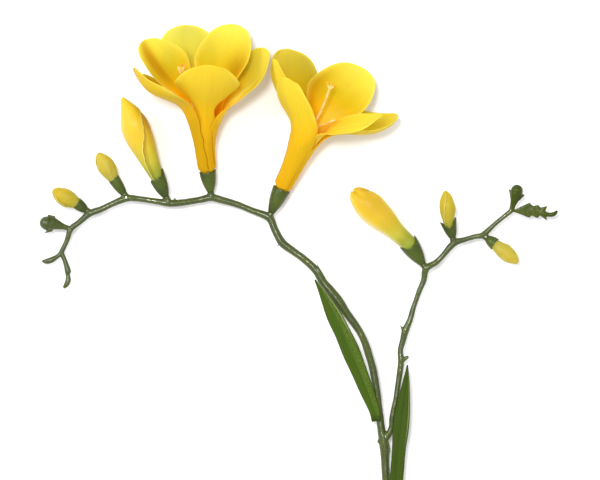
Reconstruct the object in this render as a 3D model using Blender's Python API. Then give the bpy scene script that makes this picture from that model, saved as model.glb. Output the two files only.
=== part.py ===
# A cut freesia spray lying flat: a forked stem, two open blooms with their
# stamens, six buds, a green cup under each bloom and bud, and two leaves.
# Sizes are in millimetres here and become metres when a mesh is made.
import math

import bmesh
import bpy
import numpy as np
from mathutils import Vector

MM = 0.001

# Driving dimensions
GAP = 0.3                # clearance between two pieces that touch
PETAL_THICKNESS = 0.8
LEAF_THICKNESS = 0.8
STUB_LENGTH = 1.8        # from the stem's centre to the seat of a cup
STUB_RADIUS = 1.15
CUP_WALL = 0.65
BLOOM_CUP_DEPTH = 4.9
BUD_CUP_DEPTH = 4.4
CUP_FLOOR = 1.2          # least solid foot under a cup's hollow
THROAT_FLOOR = 8.0       # where the hollow of a bloom's tube starts, above its cup
ROUTE_STEP = 3.6         # spacing of the stem's rings
FLARE_RISE = 0.35        # share of a petal's blade over which it flares
WELD = 0.005             # points nearer than this become one
CENTRE = (-0.4, -54.7)   # middle of the spray's outline, placed over the origin
FLOOR = 0.0              # height of the surface that the spray lies on

UP = np.array([0.0, 0.0, 1.0])

# Routes: x, y, z and the radius there, from the cut end upwards.
MAIN_ROUTE = [
    (34.2, -187.2, 1.35, 1.60), (34.9, -165.6, 1.80, 1.55), (34.7, -144.0, 2.60, 1.55),
    (33.7, -124.2, 3.60, 1.50), (32.9, -109.8, 4.40, 1.85), (32.2, -99.0, 4.80, 1.50),
    (31.1, -86.4, 5.00, 1.50), (30.7, -79.2, 5.10, 1.50), (30.6, -75.2, 5.20, 1.85),
    (30.0, -71.8, 5.30, 1.70), (29.3, -68.4, 5.40, 1.40), (28.7, -63.4, 5.50, 1.35),
    (28.1, -58.7, 5.60, 1.35), (27.4, -52.9, 5.80, 1.30), (26.3, -46.8, 5.90, 1.30),
    (25.2, -42.8, 6.00, 1.30), (24.2, -39.4, 6.10, 1.35), (23.0, -36.0, 6.20, 1.25),
    (21.0, -32.2, 6.20, 1.25), (18.7, -28.9, 6.30, 1.38), (16.4, -25.8, 6.30, 1.50),
    (13.9, -22.1, 6.30, 1.78), (11.0, -18.3, 6.30, 1.65), (7.9, -14.6, 6.30, 1.45),
    (5.8, -11.0, 6.30, 1.40), (1.6, -7.0, 6.20, 1.30), (-2.5, -4.0, 6.00, 1.30),
    (-6.5, -0.9, 5.80, 1.45), (-9.2, 4.0, 5.50, 1.30), (-11.2, 8.1, 5.30, 1.40),
    (-16.9, 10.8, 5.30, 1.15), (-22.6, 13.0, 5.30, 1.15), (-27.4, 14.2, 5.30, 1.20),
    (-31.9, 15.3, 5.40, 1.30), (-36.6, 14.4, 5.70, 1.15), (-41.6, 13.6, 6.10, 1.15),
    (-46.7, 13.2, 6.40, 1.25), (-51.7, 13.9, 6.60, 1.05), (-57.8, 14.8, 6.60, 1.00),
    (-62.4, 15.0, 6.60, 1.20), (-67.9, 12.9, 6.50, 1.05), (-71.9, 11.0, 6.40, 1.10),
    (-75.8, 9.5, 6.40, 1.15), (-79.7, 6.3, 6.30, 1.00), (-82.5, 4.0, 6.20, 1.00),
    (-84.1, -0.5, 6.00, 0.85), (-86.0, -4.4, 5.80, 0.85),
]
BRANCH_ROUTE = [
    (30.2, -72.4, 5.30, 1.30), (31.7, -70.4, 5.80, 1.20), (33.1, -67.7, 6.10, 1.10),
    (33.2, -64.4, 6.30, 1.00), (33.8, -61.2, 6.40, 1.00), (34.6, -57.6, 6.40, 1.00),
    (35.1, -54.0, 6.40, 1.00), (35.6, -50.4, 6.40, 1.00), (36.1, -46.8, 6.40, 1.10),
    (36.4, -43.6, 6.40, 1.10), (36.2, -39.6, 6.40, 0.95), (37.1, -36.2, 6.40, 1.10),
    (38.0, -32.6, 6.50, 1.30), (39.6, -28.8, 6.60, 1.05), (40.6, -25.2, 6.60, 0.95),
    (41.8, -21.6, 6.70, 0.85), (43.1, -18.0, 6.80, 0.95), (44.6, -14.4, 6.80, 1.00),
    (45.4, -10.4, 6.90, 1.20), (48.9, -8.1, 7.00, 1.00), (51.4, -5.7, 7.00, 0.95),
    (55.3, -1.3, 7.00, 1.15), (59.8, 0.3, 7.00, 0.85), (63.3, 1.3, 7.00, 0.85),
    (65.9, 1.9, 7.00, 1.00), (70.7, 6.2, 7.10, 0.75), (76.0, 10.5, 7.20, 0.85),
]
LEFT_SPROUT = [(-86.0, -4.4, 5.8, 0.75), (-87.3, -5.8, 5.8, 0.68), (-89.4, -7.1, 5.8, 0.98),
               (-91.3, -7.7, 5.8, 0.92), (-93.0, -7.6, 5.8, 0.32)]
DOWN_SPROUT = [
    (-86.0, -4.4, 5.8, 0.75), (-84.9, -7.0, 5.8, 0.72), (-84.1, -9.4, 5.8, 0.85),
    (-83.6, -11.3, 5.8, 1.05), (-83.7, -12.5, 5.8, 0.68), (-83.5, -14.4, 5.8, 0.92),
    (-84.3, -16.3, 5.8, 0.80), (-85.2, -17.3, 5.8, 0.35),
]
HOOK_ROUTE = [(87.0, 9.8, 7.2, 0.70), (89.8, 9.1, 7.2, 0.75), (91.6, 9.4, 7.2, 0.75),
              (92.7, 10.6, 7.2, 0.35)]

# Short thorns and spurs: foot, tip and the radius at the foot.
THORNS = [
    ((8.6, -14.0, 6.5), (5.9, -8.2, 8.2), 0.80),
    ((-4.6, -1.6, 6.4), (-8.9, -1.9, 7.0), 0.70),
    ((-45.4, 13.8, 6.5), (-44.9, 15.4, 7.2), 0.80),
    ((37.6, -33.4, 6.5), (35.9, -30.3, 6.9), 0.80),
    ((36.0, -44.0, 6.4), (39.1, -41.9, 6.8), 1.15),
    ((29.4, -73.0, 5.4), (28.0, -72.2, 5.7), 1.25),
    ((-88.4, 7.9, 6.4), (-91.3, 9.2, 6.6), 0.70),
    ((-89.4, 3.8, 6.3), (-92.2, 2.4, 6.5), 0.70),
    ((76.4, 15.3, 7.5), (75.2, 18.6, 7.7), 0.70),
    ((78.7, 14.9, 7.6), (81.0, 16.3, 7.7), 0.70),
]

# Green buds at the ends of the two branches: foot, mouth, and the ball's middle and radius.
GREEN_BUDS = [
    ((-82.5, 4.0, 6.2), (-89.6, 6.1, 6.4), (-91.4, 6.1, 6.4), 2.45),
    ((76.0, 10.5, 7.2), (77.9, 16.6, 7.6), (78.1, 17.8, 7.6), 2.20),
]

# The toothed bract beyond the last fork, seen from above.
BRACT_OUTLINE = [
    (76.3, 10.3), (79.1, 9.4), (82.6, 8.0), (83.5, 8.8), (85.5, 7.8), (86.4, 8.8), (89.0, 7.0),
    (88.4, 9.2), (88.4, 10.6), (89.2, 12.3), (86.6, 11.7), (85.8, 12.7), (83.9, 12.2),
    (82.7, 13.5), (79.6, 12.1),
]
BRACT_BOTTOM, BRACT_TOP = 6.7, 7.7

# Blooms. A bloom's base is where its tube leaves the cup; its axis lies azimuth degrees from +X
# and tilt degrees above the surface, and turns by bend degrees to its right along the tube.
# Petals: azimuth 0 faces up from the surface, 90 is to the right of the axis.
INNER = dict(base_radius=2.8, throat_radius=4.7, start=12.0)
OUTER = dict(base_radius=2.7, throat_radius=5.15, start=11.3)
BLOOMS = {
    "left": dict(
        node=(-31.9, 15.4, 5.4), base=(-33.3, 24.5, 6.3), azimuth=97.5, tilt=15.0, bend=10.0, rim=3.0,
        petals=[
            dict(INNER, azimuth=4, tube=22.5, length=26.0, flare=43, tip=9, half=12.6, widest=0.56,
                 cup=24, claw=3.8),
            dict(OUTER, azimuth=-68, tube=20.5, length=28.2, flare=64, tip=30, half=12.0, widest=0.52,
                 point=0.62, cup=12),
            dict(INNER, azimuth=-114, tube=22.5, length=30.8, flare=50, tip=34, half=11.8, cup=18),
            dict(OUTER, azimuth=-156, tube=22.5, length=31.3, flare=34, tip=28, half=11.2, cup=26),
            dict(INNER, azimuth=140, tube=22.5, length=32.0, flare=27, tip=16, half=12.4, cup=20),
            dict(OUTER, azimuth=100, tube=20.0, length=31.0, flare=55, tip=-8, half=14.6, widest=0.64,
                 cup=20, power=3.0, claw=4.6),
        ],
        style=[(0.0, 0.0), (-0.8, 10.0), (-2.6, 18.0), (-5.2, 24.0), (-7.6, 28.0)],
        stamens=[
            [(0.0, 0.0), (-1.6, 11.0), (-3.8, 20.0), (-6.6, 27.0)],
            [(0.0, 0.0), (1.2, 11.0), (3.0, 20.0), (4.8, 26.0)],
            [(0.0, 0.0), (0.2, 11.0), (0.8, 20.0), (1.2, 27.0)],
        ],
        stamen_front=[0.0, 0.6, -2.4],
    ),
    "right": dict(
        node=(-11.2, 8.1, 5.3), base=(-6.7, 18.3, 5.8), azimuth=63.0, tilt=17.0, bend=-5.0, rim=3.2,
        petals=[
            dict(OUTER, azimuth=-46, tube=22.0, length=25.5, flare=40, tip=20, half=10.2, widest=0.42,
                 cup=12, claw=4.6),
            dict(INNER, azimuth=62, tube=21.5, length=27.5, flare=66, tip=20, half=9.6, widest=0.52,
                 cup=14, claw=4.6),
            dict(OUTER, azimuth=105, tube=21.0, length=32.0, flare=71, tip=12, half=12.0, widest=0.54,
                 point=0.75, cup=14, claw=3.4),
            dict(INNER, azimuth=147, tube=22.5, length=29.3, flare=29, tip=28, half=14.0, widest=0.56,
                 cup=22, claw=4.0),
            dict(OUTER, azimuth=-144, tube=22.5, length=30.6, flare=50, tip=40, half=12.8, cup=18,
                 power=2.4),
            dict(INNER, azimuth=-92, tube=21.0, length=26.5, flare=50, tip=12, half=10.0, widest=0.58,
                 cup=12),
        ],
        style=[(0.0, 0.0), (0.8, 12.0), (1.4, 23.0), (1.0, 28.0), (0.4, 32.0)],
        stamens=[
            [(0.0, 0.0), (1.0, 11.0), (2.6, 18.5), (5.2, 23.2)],
            [(0.0, 0.0), (-0.6, 11.0), (-1.0, 20.0), (-1.2, 26.0)],
            [(0.0, 0.0), (0.6, 11.0), (1.8, 20.0), (2.6, 26.0)],
        ],
        stamen_front=[0.8, 0.4, -2.2],
    ),
}

# Buds: the stem's node, the middle of the cup's rim, the bud's tip, and the radius along
# the bud from rim to tip. The seams spiral by twist degrees from the rim to the tip.
SMALL_PROFILE = [(0.0, 1.1), (0.03, 1.15), (0.08, 2.0), (0.24, 2.6), (0.42, 3.0), (0.6, 2.9),
                 (0.78, 2.2), (0.9, 1.45), (0.97, 0.8), (1.0, 0.3)]
SLIM_PROFILE = [(0.0, 1.2), (0.1, 1.7), (0.24, 2.2), (0.42, 2.65), (0.6, 2.55), (0.78, 1.95),
                (0.9, 1.25), (0.97, 0.7), (1.0, 0.3)]
BUDS = {
    "bud_left": dict(
        node=(-47.5, 13.9, 6.5), rim=(-51.3, 22.3, 7.4), tip=(-63.9, 51.3, 10.4),
        rim_radius=3.0, inside=2.0,
        profile=[(0.0, 2.0), (0.05, 2.35), (0.17, 3.0), (0.36, 4.0), (0.52, 4.8), (0.66, 5.0), (0.78, 3.85),
                 (0.88, 2.4), (0.955, 1.2), (1.0, 0.35)],
        twist=120.0, phase=-58.0, step=0.55, arc=7, lobes=[(90.0, 2.4, 40.0)]),
    "bud_right": dict(
        node=(45.4, -10.3, 6.9), rim=(39.2, -1.3, 7.4), tip=(19.1, 17.6, 8.6), rim_radius=3.5, inside=2.5,
        profile=[(0.0, 2.45), (0.06, 2.6), (0.14, 3.0), (0.28, 3.4), (0.4, 4.25), (0.52, 4.9),
                 (0.68, 5.3), (0.8, 4.8), (0.9, 3.65), (0.965, 2.3), (1.0, 0.8)],
        twist=60.0, phase=100.0, step=0.4, arc=7, lobes=[(80.0, 1.3, 30.0), (-100.0, 1.0, 30.0)]),
    "bud_small_1": dict(
        node=(-62.4, 15.2, 6.6), rim=(-67.1, 22.1, 7.2), tip=(-72.7, 31.3, 8.4), rim_radius=2.15, inside=1.05,
        profile=SMALL_PROFILE, twist=60.0, phase=0.0, step=0.22, arc=4, lobes=[]),
    "bud_small_2": dict(
        node=(-75.6, 9.6, 6.4), rim=(-80.3, 13.2, 6.9), tip=(-89.1, 17.8, 7.6), rim_radius=2.15, inside=1.05,
        profile=SMALL_PROFILE, twist=60.0, phase=40.0, step=0.22, arc=4, lobes=[]),
    "bud_small_3": dict(
        node=(55.5, -1.0, 7.0), rim=(53.6, 5.9, 7.6), tip=(52.3, 17.7, 8.6), rim_radius=2.6, inside=1.3,
        profile=SLIM_PROFILE, twist=60.0, phase=80.0, step=0.22, arc=4,
        lobes=[(90.0, 1.7, 34.0), (-90.0, 1.7, 34.0)]),
    "bud_small_4": dict(
        node=(65.9, 1.8, 7.0), rim=(70.1, -1.4, 7.4), tip=(78.5, -8.2, 8.0), rim_radius=2.3, inside=1.2,
        profile=SLIM_PROFILE, twist=60.0, phase=20.0, step=0.22, arc=4, lobes=[]),
}

# Leaves: the middle line (x, y, z), half the width and the radius of the arch across it.
# The first points wrap round the stem.
LEAVES = {
    "leaf_left": [
        (27.5, -65.3, 7.90, 1.70, 4.0), (26.7, -61.2, 8.10, 2.00, 5.0), (24.8, -56.2, 8.40, 2.40, 5.0),
        (22.1, -49.3, 8.80, 2.95, 7.0), (18.7, -41.0, 9.20, 3.20, 9.0), (15.7, -34.2, 9.40, 3.10, 9.0),
        (12.3, -27.3, 9.50, 2.70, 8.0), (9.2, -21.3, 9.50, 1.70, 6.0), (5.6, -14.6, 9.30, 0.40, 5.0)],
    "leaf_right": [
        (32.9, -110.5, 7.05, 3.40, 2.7), (32.8, -104.8, 7.30, 3.10, 2.8), (33.8, -97.2, 7.80, 2.50, 4.0),
        (34.7, -86.4, 8.40, 2.40, 7.0), (35.5, -76.3, 9.00, 2.60, 9.0), (36.4, -67.0, 9.30, 2.85, 10.0),
        (37.3, -59.0, 9.40, 2.40, 9.0), (38.1, -51.8, 9.30, 1.50, 7.0), (38.6, -45.4, 9.00, 0.40, 6.0)],
}

# Materials: base colour, roughness
FINISHES = {
    "stem_green": ((0.105, 0.165, 0.040), 0.30),
    "cup_green": ((0.070, 0.125, 0.032), 0.35),
    "leaf_green": ((0.110, 0.230, 0.035), 0.50),
    "petal_yellow": ((0.930, 0.700, 0.040), 0.60),
    "bud_yellow": ((0.860, 0.620, 0.060), 0.50),
    "stamen_cream": ((0.850, 0.640, 0.260), 0.60),
}


def unit(v):
    return np.asarray(v, float) / np.linalg.norm(v)


def ease(x):
    x = np.clip(x, 0.0, 1.0)
    return x * x * (3.0 - 2.0 * x)


def along_route(route, step):
    """Points read at about every step from a smooth curve through the route's own points."""
    p = np.asarray(route, float)
    p = np.vstack([2 * p[0] - p[1], p, 2 * p[-1] - p[-2]])
    out = []
    for a, b, c, d in zip(p[:-3], p[1:-2], p[2:-1], p[3:]):
        count = max(1, round(np.linalg.norm((c - b)[:3]) / step))
        for t in np.arange(count) / count:
            out.append(0.5 * (2 * b + (c - a) * t + (2 * a - 5 * b + 4 * c - d) * t**2
                              + (3 * b - a - 3 * c + d) * t**3))
    out.append(p[-2])
    return np.array(out)


def directions(axis):
    """Right, along and front directions of a piece whose axis is given; front is the upper side."""
    along = unit(axis)
    right = unit(np.cross(along, UP))
    return right, along, np.cross(right, along)


def bearing(azimuth, tilt):
    a, t = math.radians(azimuth), math.radians(tilt)
    return directions((math.cos(a) * math.cos(t), math.sin(a) * math.cos(t), math.sin(t)))


def tube_rings(points, radii, sides):
    """Rings round a route, each square to the route and turned with it as little as possible."""
    points = np.asarray(points, float)
    tangents = np.gradient(points, axis=0)
    side = unit(np.cross(tangents[0], UP) if abs(unit(tangents[0])[2]) < 0.9 else (1.0, 0.0, 0.0))
    rings = []
    for centre, tangent, radius in zip(points, tangents, radii):
        tangent = unit(tangent)
        side = unit(side - tangent * side.dot(tangent))
        other = np.cross(tangent, side)
        turns = [2 * math.pi * k / sides for k in range(sides)]
        rings.append([centre + radius * (math.cos(a) * side + math.sin(a) * other) for a in turns])
    return rings


def skin(rings):
    """A closed body through rings of equal count, with both ends capped."""
    bm = bmesh.new()
    loops = [[bm.verts.new(Vector(p) * MM) for p in ring] for ring in rings]
    for low, high in zip(loops, loops[1:]):
        for k in range(len(low)):
            j = (k + 1) % len(low)
            bm.faces.new((low[k], low[j], high[j], high[k]))
    bm.faces.new(list(reversed(loops[0])))
    bm.faces.new(loops[-1])
    bmesh.ops.recalc_face_normals(bm, faces=bm.faces)
    return bm


def object_of(name, bm):
    mesh = bpy.data.meshes.new(name)
    bm.to_mesh(mesh)
    bm.free()
    piece = bpy.data.objects.new(name, mesh)
    bpy.context.scene.collection.objects.link(piece)
    return piece


def tube(route, sides, step=ROUTE_STEP):
    points = along_route(route, step)
    return object_of("tube", skin(tube_rings(points[:, :3], points[:, 3], sides)))


def blade(grid, thickness):
    """A thin blade: a grid of points split into triangles, then given its thickness."""
    rows, columns = len(grid), len(grid[0])
    bm = bmesh.new()
    verts = [[bm.verts.new(Vector(p) * MM) for p in row] for row in grid]
    for i in range(rows - 1):
        for j in range(columns - 1):
            a, b, c, d = verts[i][j], verts[i][j + 1], verts[i + 1][j + 1], verts[i + 1][j]
            if j < (columns - 1) / 2:
                bm.faces.new((a, b, c))
                bm.faces.new((a, c, d))
            else:
                bm.faces.new((a, b, d))
                bm.faces.new((b, c, d))
    piece = object_of("blade", bm)
    solidify = piece.modifiers.new("thickness", "SOLIDIFY")
    solidify.thickness = thickness * MM
    solidify.offset = 0.0
    return applied(piece)


def applied(piece):
    """Replaces a piece's mesh with the result of its modifiers."""
    graph = bpy.context.evaluated_depsgraph_get()
    mesh = bpy.data.meshes.new_from_object(piece.evaluated_get(graph))
    piece.modifiers.clear()
    piece.data = mesh
    return piece


def fuse(name, pieces):
    """One body from overlapping pieces, cut level where it rests on the surface."""
    first = pieces[0]
    group = bpy.data.collections.new(name + "_pieces")
    for piece in pieces[1:]:
        group.objects.link(piece)
    union = first.modifiers.new("join", "BOOLEAN")
    union.operation = "UNION"
    union.operand_type = "COLLECTION"
    union.collection = group
    union.solver = "EXACT"
    applied(first)
    for piece in pieces[1:]:
        bpy.data.objects.remove(piece)
    bpy.data.collections.remove(group)
    if min(v.co.z for v in first.data.vertices) < FLOOR * MM:
        bpy.ops.mesh.primitive_cube_add(size=1.0)
        ground = bpy.context.object
        ground.scale = (0.4, 0.5, 0.02)
        ground.location = (0.0, -0.05, FLOOR * MM - 0.01)
        level = first.modifiers.new("level", "BOOLEAN")
        level.operation = "DIFFERENCE"
        level.object = ground
        level.solver = "EXACT"
        applied(first)
        bpy.data.objects.remove(ground)
    bm = bmesh.new()
    bm.from_mesh(first.data)
    bmesh.ops.remove_doubles(bm, verts=bm.verts, dist=WELD * MM)
    loose = [v for v in bm.verts if not v.link_faces]
    bmesh.ops.delete(bm, geom=loose, context="VERTS")
    bm.to_mesh(first.data)
    bm.free()
    first.name = first.data.name = name
    return first


def finish(piece, name, material, sharp=40.0):
    """Names a piece, shades it and gives it its material."""
    piece.name = piece.data.name = name
    piece.data.shade_smooth()
    piece.data.set_sharp_from_angle(angle=math.radians(sharp))
    piece.data.materials.clear()
    piece.data.materials.append(material)
    piece.parent = spray
    return piece


def material_of(name):
    colour, roughness = FINISHES[name]
    material = bpy.data.materials.new(name)
    material.use_nodes = True
    shader = material.node_tree.nodes["Principled BSDF"]
    shader.inputs["Base Color"].default_value = (*colour, 1.0)
    shader.inputs["Roughness"].default_value = roughness
    shader.inputs["Metallic"].default_value = 0.0
    material.diffuse_color = (*colour, 1.0)
    return material


def petal_grid(azimuth, base_radius, throat_radius, tube, length, flare, tip, half, cup,
               widest=0.6, point=0.5, power=2.0, blunt=0.09, claw=2.8, start=12.0, rows=12, columns=8):
    """Points of one petal in its bloom's own right, along and front directions.

    The petal runs up the tube, flares out of the throat and turns in again towards its tip.
    """
    turn = math.radians(azimuth)
    out = np.array([math.sin(turn), 0.0, math.cos(turn)])
    across = np.array([math.cos(turn), 0.0, -math.sin(turn)])
    up = np.array([0.0, 1.0, 0.0])
    s = np.linspace(0.0, tube + length, 400)
    q = np.minimum((s - tube) / length, 1.0)
    lean_tube = math.asin((throat_radius - base_radius) / tube)
    lean = lean_tube + (math.radians(flare) - lean_tube) * ease((q + 0.12) / (FLARE_RISE + 0.12))
    lean = lean + math.radians(tip - flare) * np.clip((q - 0.45) / 0.55, 0.0, 1.0) ** 1.5
    radius = base_radius + np.cumsum(np.sin(lean)) * s[1]
    height = np.cumsum(np.cos(lean)) * s[1]
    grid = []
    for u in np.linspace(0.0, 1.0, rows):
        middle_s = start + (s[-1] - start) * (1.0 - (1.0 - u) ** 1.25)
        droop = (1.0 - widest) * length * blunt * ease(u * 1.6 - 0.6)
        part = (middle_s - droop - tube) / length
        if part < widest:
            width = claw + (half - claw) * ease(part / widest)
        else:
            width = half * (1.0 - ((part - widest) / (1.0 - widest)) ** power) ** point
        row = []
        for v in np.linspace(-1.0, 1.0, columns):
            at = middle_s - droop * abs(v) ** 1.8
            r, h, a = np.interp(at, s, radius), np.interp(at, s, height), np.interp(at, s, lean)
            curve = max(r + (cup - r) * ease((at - tube) / length / 0.8), width / 1.6)
            inward = up * math.sin(a) - out * math.cos(a)
            b = v * width / curve
            row.append(up * h + out * r + curve * (math.sin(b) * across + (1.0 - math.cos(b)) * inward))
        grid.append(row)
    return grid


def bent(point, bend, reach=24.0):
    """Turns a bloom's axis to its right by bend degrees over the first reach of its height."""
    heights = np.linspace(-6.0, 90.0, 300)
    turns = math.radians(bend) * ease(heights / reach)
    step = heights[1] - heights[0]
    sideways = np.cumsum(np.sin(turns)) * step
    upwards = np.cumsum(np.cos(turns)) * step
    sideways = sideways - np.interp(0.0, heights, sideways)
    upwards = upwards - np.interp(0.0, heights, upwards)
    turn = np.interp(point[1], heights, turns)
    return np.array([np.interp(point[1], heights, sideways) + point[0] * math.cos(turn),
                     np.interp(point[1], heights, upwards) - point[0] * math.sin(turn), point[2]])


def placed(grid, bloom):
    """Moves points from a bloom's own directions to the spray."""
    right, along, front = bearing(bloom["azimuth"], bloom["tilt"])
    base = np.array(bloom["base"])
    turned = [[bent(p, bloom["bend"]) for p in row] for row in grid]
    return [[base + p[0] * right + p[1] * along + p[2] * front for p in row] for row in turned]


def ring(height, radius, sides):
    turns = [2 * math.pi * k / sides for k in range(sides)]
    return [np.array([radius * math.sin(a), height, radius * math.cos(a)]) for a in turns]


def bloom(side, data):
    """Six petals in two whorls on a hollow tube, whose narrow foot stands in the cup."""
    foot = [(GAP - BLOOM_CUP_DEPTH, 1.7), (-GAP, 2.0)]
    outside = [(0.5, 2.15), (1.4, 3.45), (8.0, 3.85), (13.0, 4.35), (17.0, 5.0), (20.0, 5.6)]
    inside = [(20.0, 4.7), (17.0, 4.1), (13.0, 3.45), (THROAT_FLOOR, 2.8)]
    right, along, front = directions(np.subtract(data["base"], data["node"]))
    rings = [[np.array(data["base"]) + p[0] * right + p[1] * along + p[2] * front for p in ring(h, r, 14)]
             for h, r in foot]
    rings += placed([ring(h, r, 14) for h, r in outside + inside], data)
    pieces = [object_of("tube", skin(rings))]
    for petal in data["petals"]:
        pieces.append(blade(placed(petal_grid(**petal), data), PETAL_THICKNESS))
    finish(fuse("bloom_" + side, pieces), "bloom_" + side, materials["petal_yellow"], 50.0)


def stamens(side, data):
    """A forked style and three stamens on one small foot on the throat's floor."""
    low = THROAT_FLOOR + GAP
    pieces = [object_of("foot", skin(placed([ring(low, 1.5, 8), ring(low + 0.9, 1.5, 8)], data)))]
    style = [(x, low + 0.3 + h, 0.0) for x, h in data["style"]]
    routes = [[(*p, 0.42) for p in style]]
    x, h, z = style[-1]
    for lean, front in ((-2.2, 0.6), (2.0, 0.8), (0.0, -2.0)):
        routes.append([(x, h - 0.6, z, 0.40), (x + lean * 0.5, h + 1.2, z + front * 0.5, 0.38),
                       (x + lean, h + 2.0, z + front, 0.34)])
    for line, front in zip(data["stamens"], data["stamen_front"]):
        top = line[-1][1]
        points = [(a, low + 0.3 + b, front * b / top) for a, b in line]
        routes.append([(*p, 0.38) for p in points])
        lean = unit(np.subtract(points[-1], points[-2]))
        anther = [np.array(points[-1]) + lean * t for t in (-0.8, 0.0, 1.6, 3.0, 3.6)]
        routes.append([(*p, r) for p, r in zip(anther, (0.3, 0.65, 0.75, 0.6, 0.25))])
    for route in routes:
        points = along_route(route, 3.0)
        world = placed([[p[:3] for p in points]], data)[0]
        pieces.append(object_of("filament", skin(tube_rings(world, points[:, 3], 6))))
    finish(fuse("stamens_" + side, pieces), "stamens_" + side, materials["stamen_cream"])


def cup(name, node, rim, rim_radius, lobes, depth, sides=14):
    """A green cup: a cone with a socket for the bloom or bud, and pointed lobes on its rim."""
    right, along, front = directions(np.subtract(rim, node))
    reach = np.linalg.norm(np.subtract(rim, node))
    length = reach - STUB_LENGTH - GAP
    depth = min(depth, length - CUP_FLOOR)
    bottom = np.array(node) + along * (STUB_LENGTH + GAP)
    flare = rim_radius - STUB_RADIUS
    rows = [(0.0, STUB_RADIUS), (0.3, STUB_RADIUS + 0.34 * flare), (0.7, STUB_RADIUS + 0.78 * flare)]
    profile = [(length * t, r, 0.0) for t, r in rows]
    profile += [(length - 0.02, rim_radius, 1.0), (length - 0.02, rim_radius - CUP_WALL, 1.0),
                (length - depth * 0.5, rim_radius - CUP_WALL - 0.25, 0.0),
                (length - depth, rim_radius - CUP_WALL - 0.45, 0.0)]
    rings = []
    for h, r, reach_of_lobe in profile:
        row = []
        for k in range(sides):
            turn = 360.0 * k / sides
            lobe = sum(rise * math.exp(-((turn - at + 180.0) % 360.0 - 180.0) ** 2 / wide**2)
                       for at, rise, wide in lobes)
            lobe *= reach_of_lobe
            a = math.radians(turn)
            wide_r = r + 0.3 * lobe
            row.append(bottom + along * (h + lobe) + wide_r * (math.sin(a) * right + math.cos(a) * front))
        rings.append(row)
    finish(object_of(name, skin(rings)), name, materials["cup_green"])


def bud(name, node, rim, tip, rim_radius, inside, profile, twist, phase, step, arc, lobes):
    """A closed bud: three petals wrapped round each other, each edge standing over the next."""
    cup(name.replace("bud", "cup_bud"), node, rim, rim_radius, lobes, BUD_CUP_DEPTH)
    cup_length = np.linalg.norm(np.subtract(rim, node)) - STUB_LENGTH - GAP
    foot = min(BUD_CUP_DEPTH, cup_length - CUP_FLOOR) - GAP
    upper = directions(np.subtract(tip, rim))
    seat = directions(np.subtract(rim, node))
    length = np.linalg.norm(np.subtract(tip, rim))
    stations = [(-foot / length, inside - 0.35)] + profile
    rings = []
    for t, r in stations:
        right, along, front = upper if t > 0.0 else seat
        centre = np.array(rim) + along * t * length
        edge = step * ease(t / 0.2) * ease((1.0 - t) / 0.15)
        row = []
        for petal in range(3):
            for k in range(arc):
                share = k / (arc - 1)
                turn = math.radians(120.0 * (petal + 0.96 * share) + phase + twist * max(t, 0.0))
                radius = r + edge * (share - 0.5)
                row.append(centre + radius * (math.sin(turn) * right + math.cos(turn) * front))
        rings.append(row)
    finish(object_of(name, skin(rings)), name, materials["bud_yellow"], 35.0)


def stub(node, rim):
    """The short stalk that carries a cup."""
    along = unit(np.subtract(rim, node))
    heights = ((-0.3, STUB_RADIUS), (STUB_LENGTH * 0.5, 1.0), (STUB_LENGTH, STUB_RADIUS))
    points = [np.array(node) + along * h for h, r in heights]
    return object_of("stub", skin(tube_rings(points, [r for h, r in heights], 8)))


def thorn(foot, tip, radius):
    points = [np.array(foot) + np.subtract(tip, foot) * t for t in (0.0, 0.45, 1.0)]
    return object_of("thorn", skin(tube_rings(points, (radius, radius * 0.6, 0.15), 6)))


def green_bud(foot, mouth, middle, radius):
    """An unopened green bud: a flared cup and the ball that fills it."""
    along = unit(np.subtract(mouth, foot))
    reach = np.linalg.norm(np.subtract(mouth, foot))
    points = [np.array(foot) + along * reach * t for t in (-0.05, 0.4, 0.8, 1.0)]
    cone = object_of("cone", skin(tube_rings(points, (0.9, 1.1, radius * 0.85, radius * 1.12), 10)))
    turns = np.radians((-60.0, -30.0, 0.0, 30.0, 55.0, 78.0))
    points = [np.array(middle) + along * radius * math.sin(a) for a in turns]
    ball = object_of("ball", skin(tube_rings(points, [radius * math.cos(a) for a in turns], 10)))
    return [cone, ball]


def bract():
    bm = bmesh.new()
    face = bm.faces.new([bm.verts.new(Vector((x, y, BRACT_BOTTOM)) * MM) for x, y in BRACT_OUTLINE])
    top = bmesh.ops.extrude_face_region(bm, geom=[face])["geom"]
    for v in [v for v in top if isinstance(v, bmesh.types.BMVert)]:
        v.co.z = BRACT_TOP * MM
    bmesh.ops.recalc_face_normals(bm, faces=bm.faces)
    bmesh.ops.triangulate(bm, faces=bm.faces)
    return object_of("bract", bm)


def stem():
    """The stem with its fork, stubs, thorns, sprouts, green buds and toothed bract, in one piece."""
    pieces = [tube(MAIN_ROUTE, 8), tube(BRANCH_ROUTE, 8)]
    pieces += [tube(route, 6, 2.0) for route in (LEFT_SPROUT, DOWN_SPROUT, HOOK_ROUTE)]
    pieces += [stub(data["node"], data["base"]) for data in BLOOMS.values()]
    pieces += [stub(data["node"], data["rim"]) for data in BUDS.values()]
    pieces += [thorn(*data) for data in THORNS]
    for data in GREEN_BUDS:
        pieces += green_bud(*data)
    pieces.append(bract())
    finish(fuse("stem", pieces), "stem", materials["stem_green"])


def leaf(name, route):
    """A narrow arched blade whose foot clasps the stem."""
    points = along_route(route, 4.5)
    tangents = np.gradient(points[:, :3], axis=0)
    grid = []
    for (x, y, z, half, arch), tangent in zip(points, tangents):
        right, along, front = directions(tangent)
        arch = max(arch, half / 1.5)
        angles = np.linspace(-1.0, 1.0, 6) * half / arch
        middle = np.array((x, y, z))
        grid.append([middle + arch * (math.sin(a) * right - (1.0 - math.cos(a)) * front) for a in angles])
    finish(blade(grid, LEAF_THICKNESS), name, materials["leaf_green"], 60.0)


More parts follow.
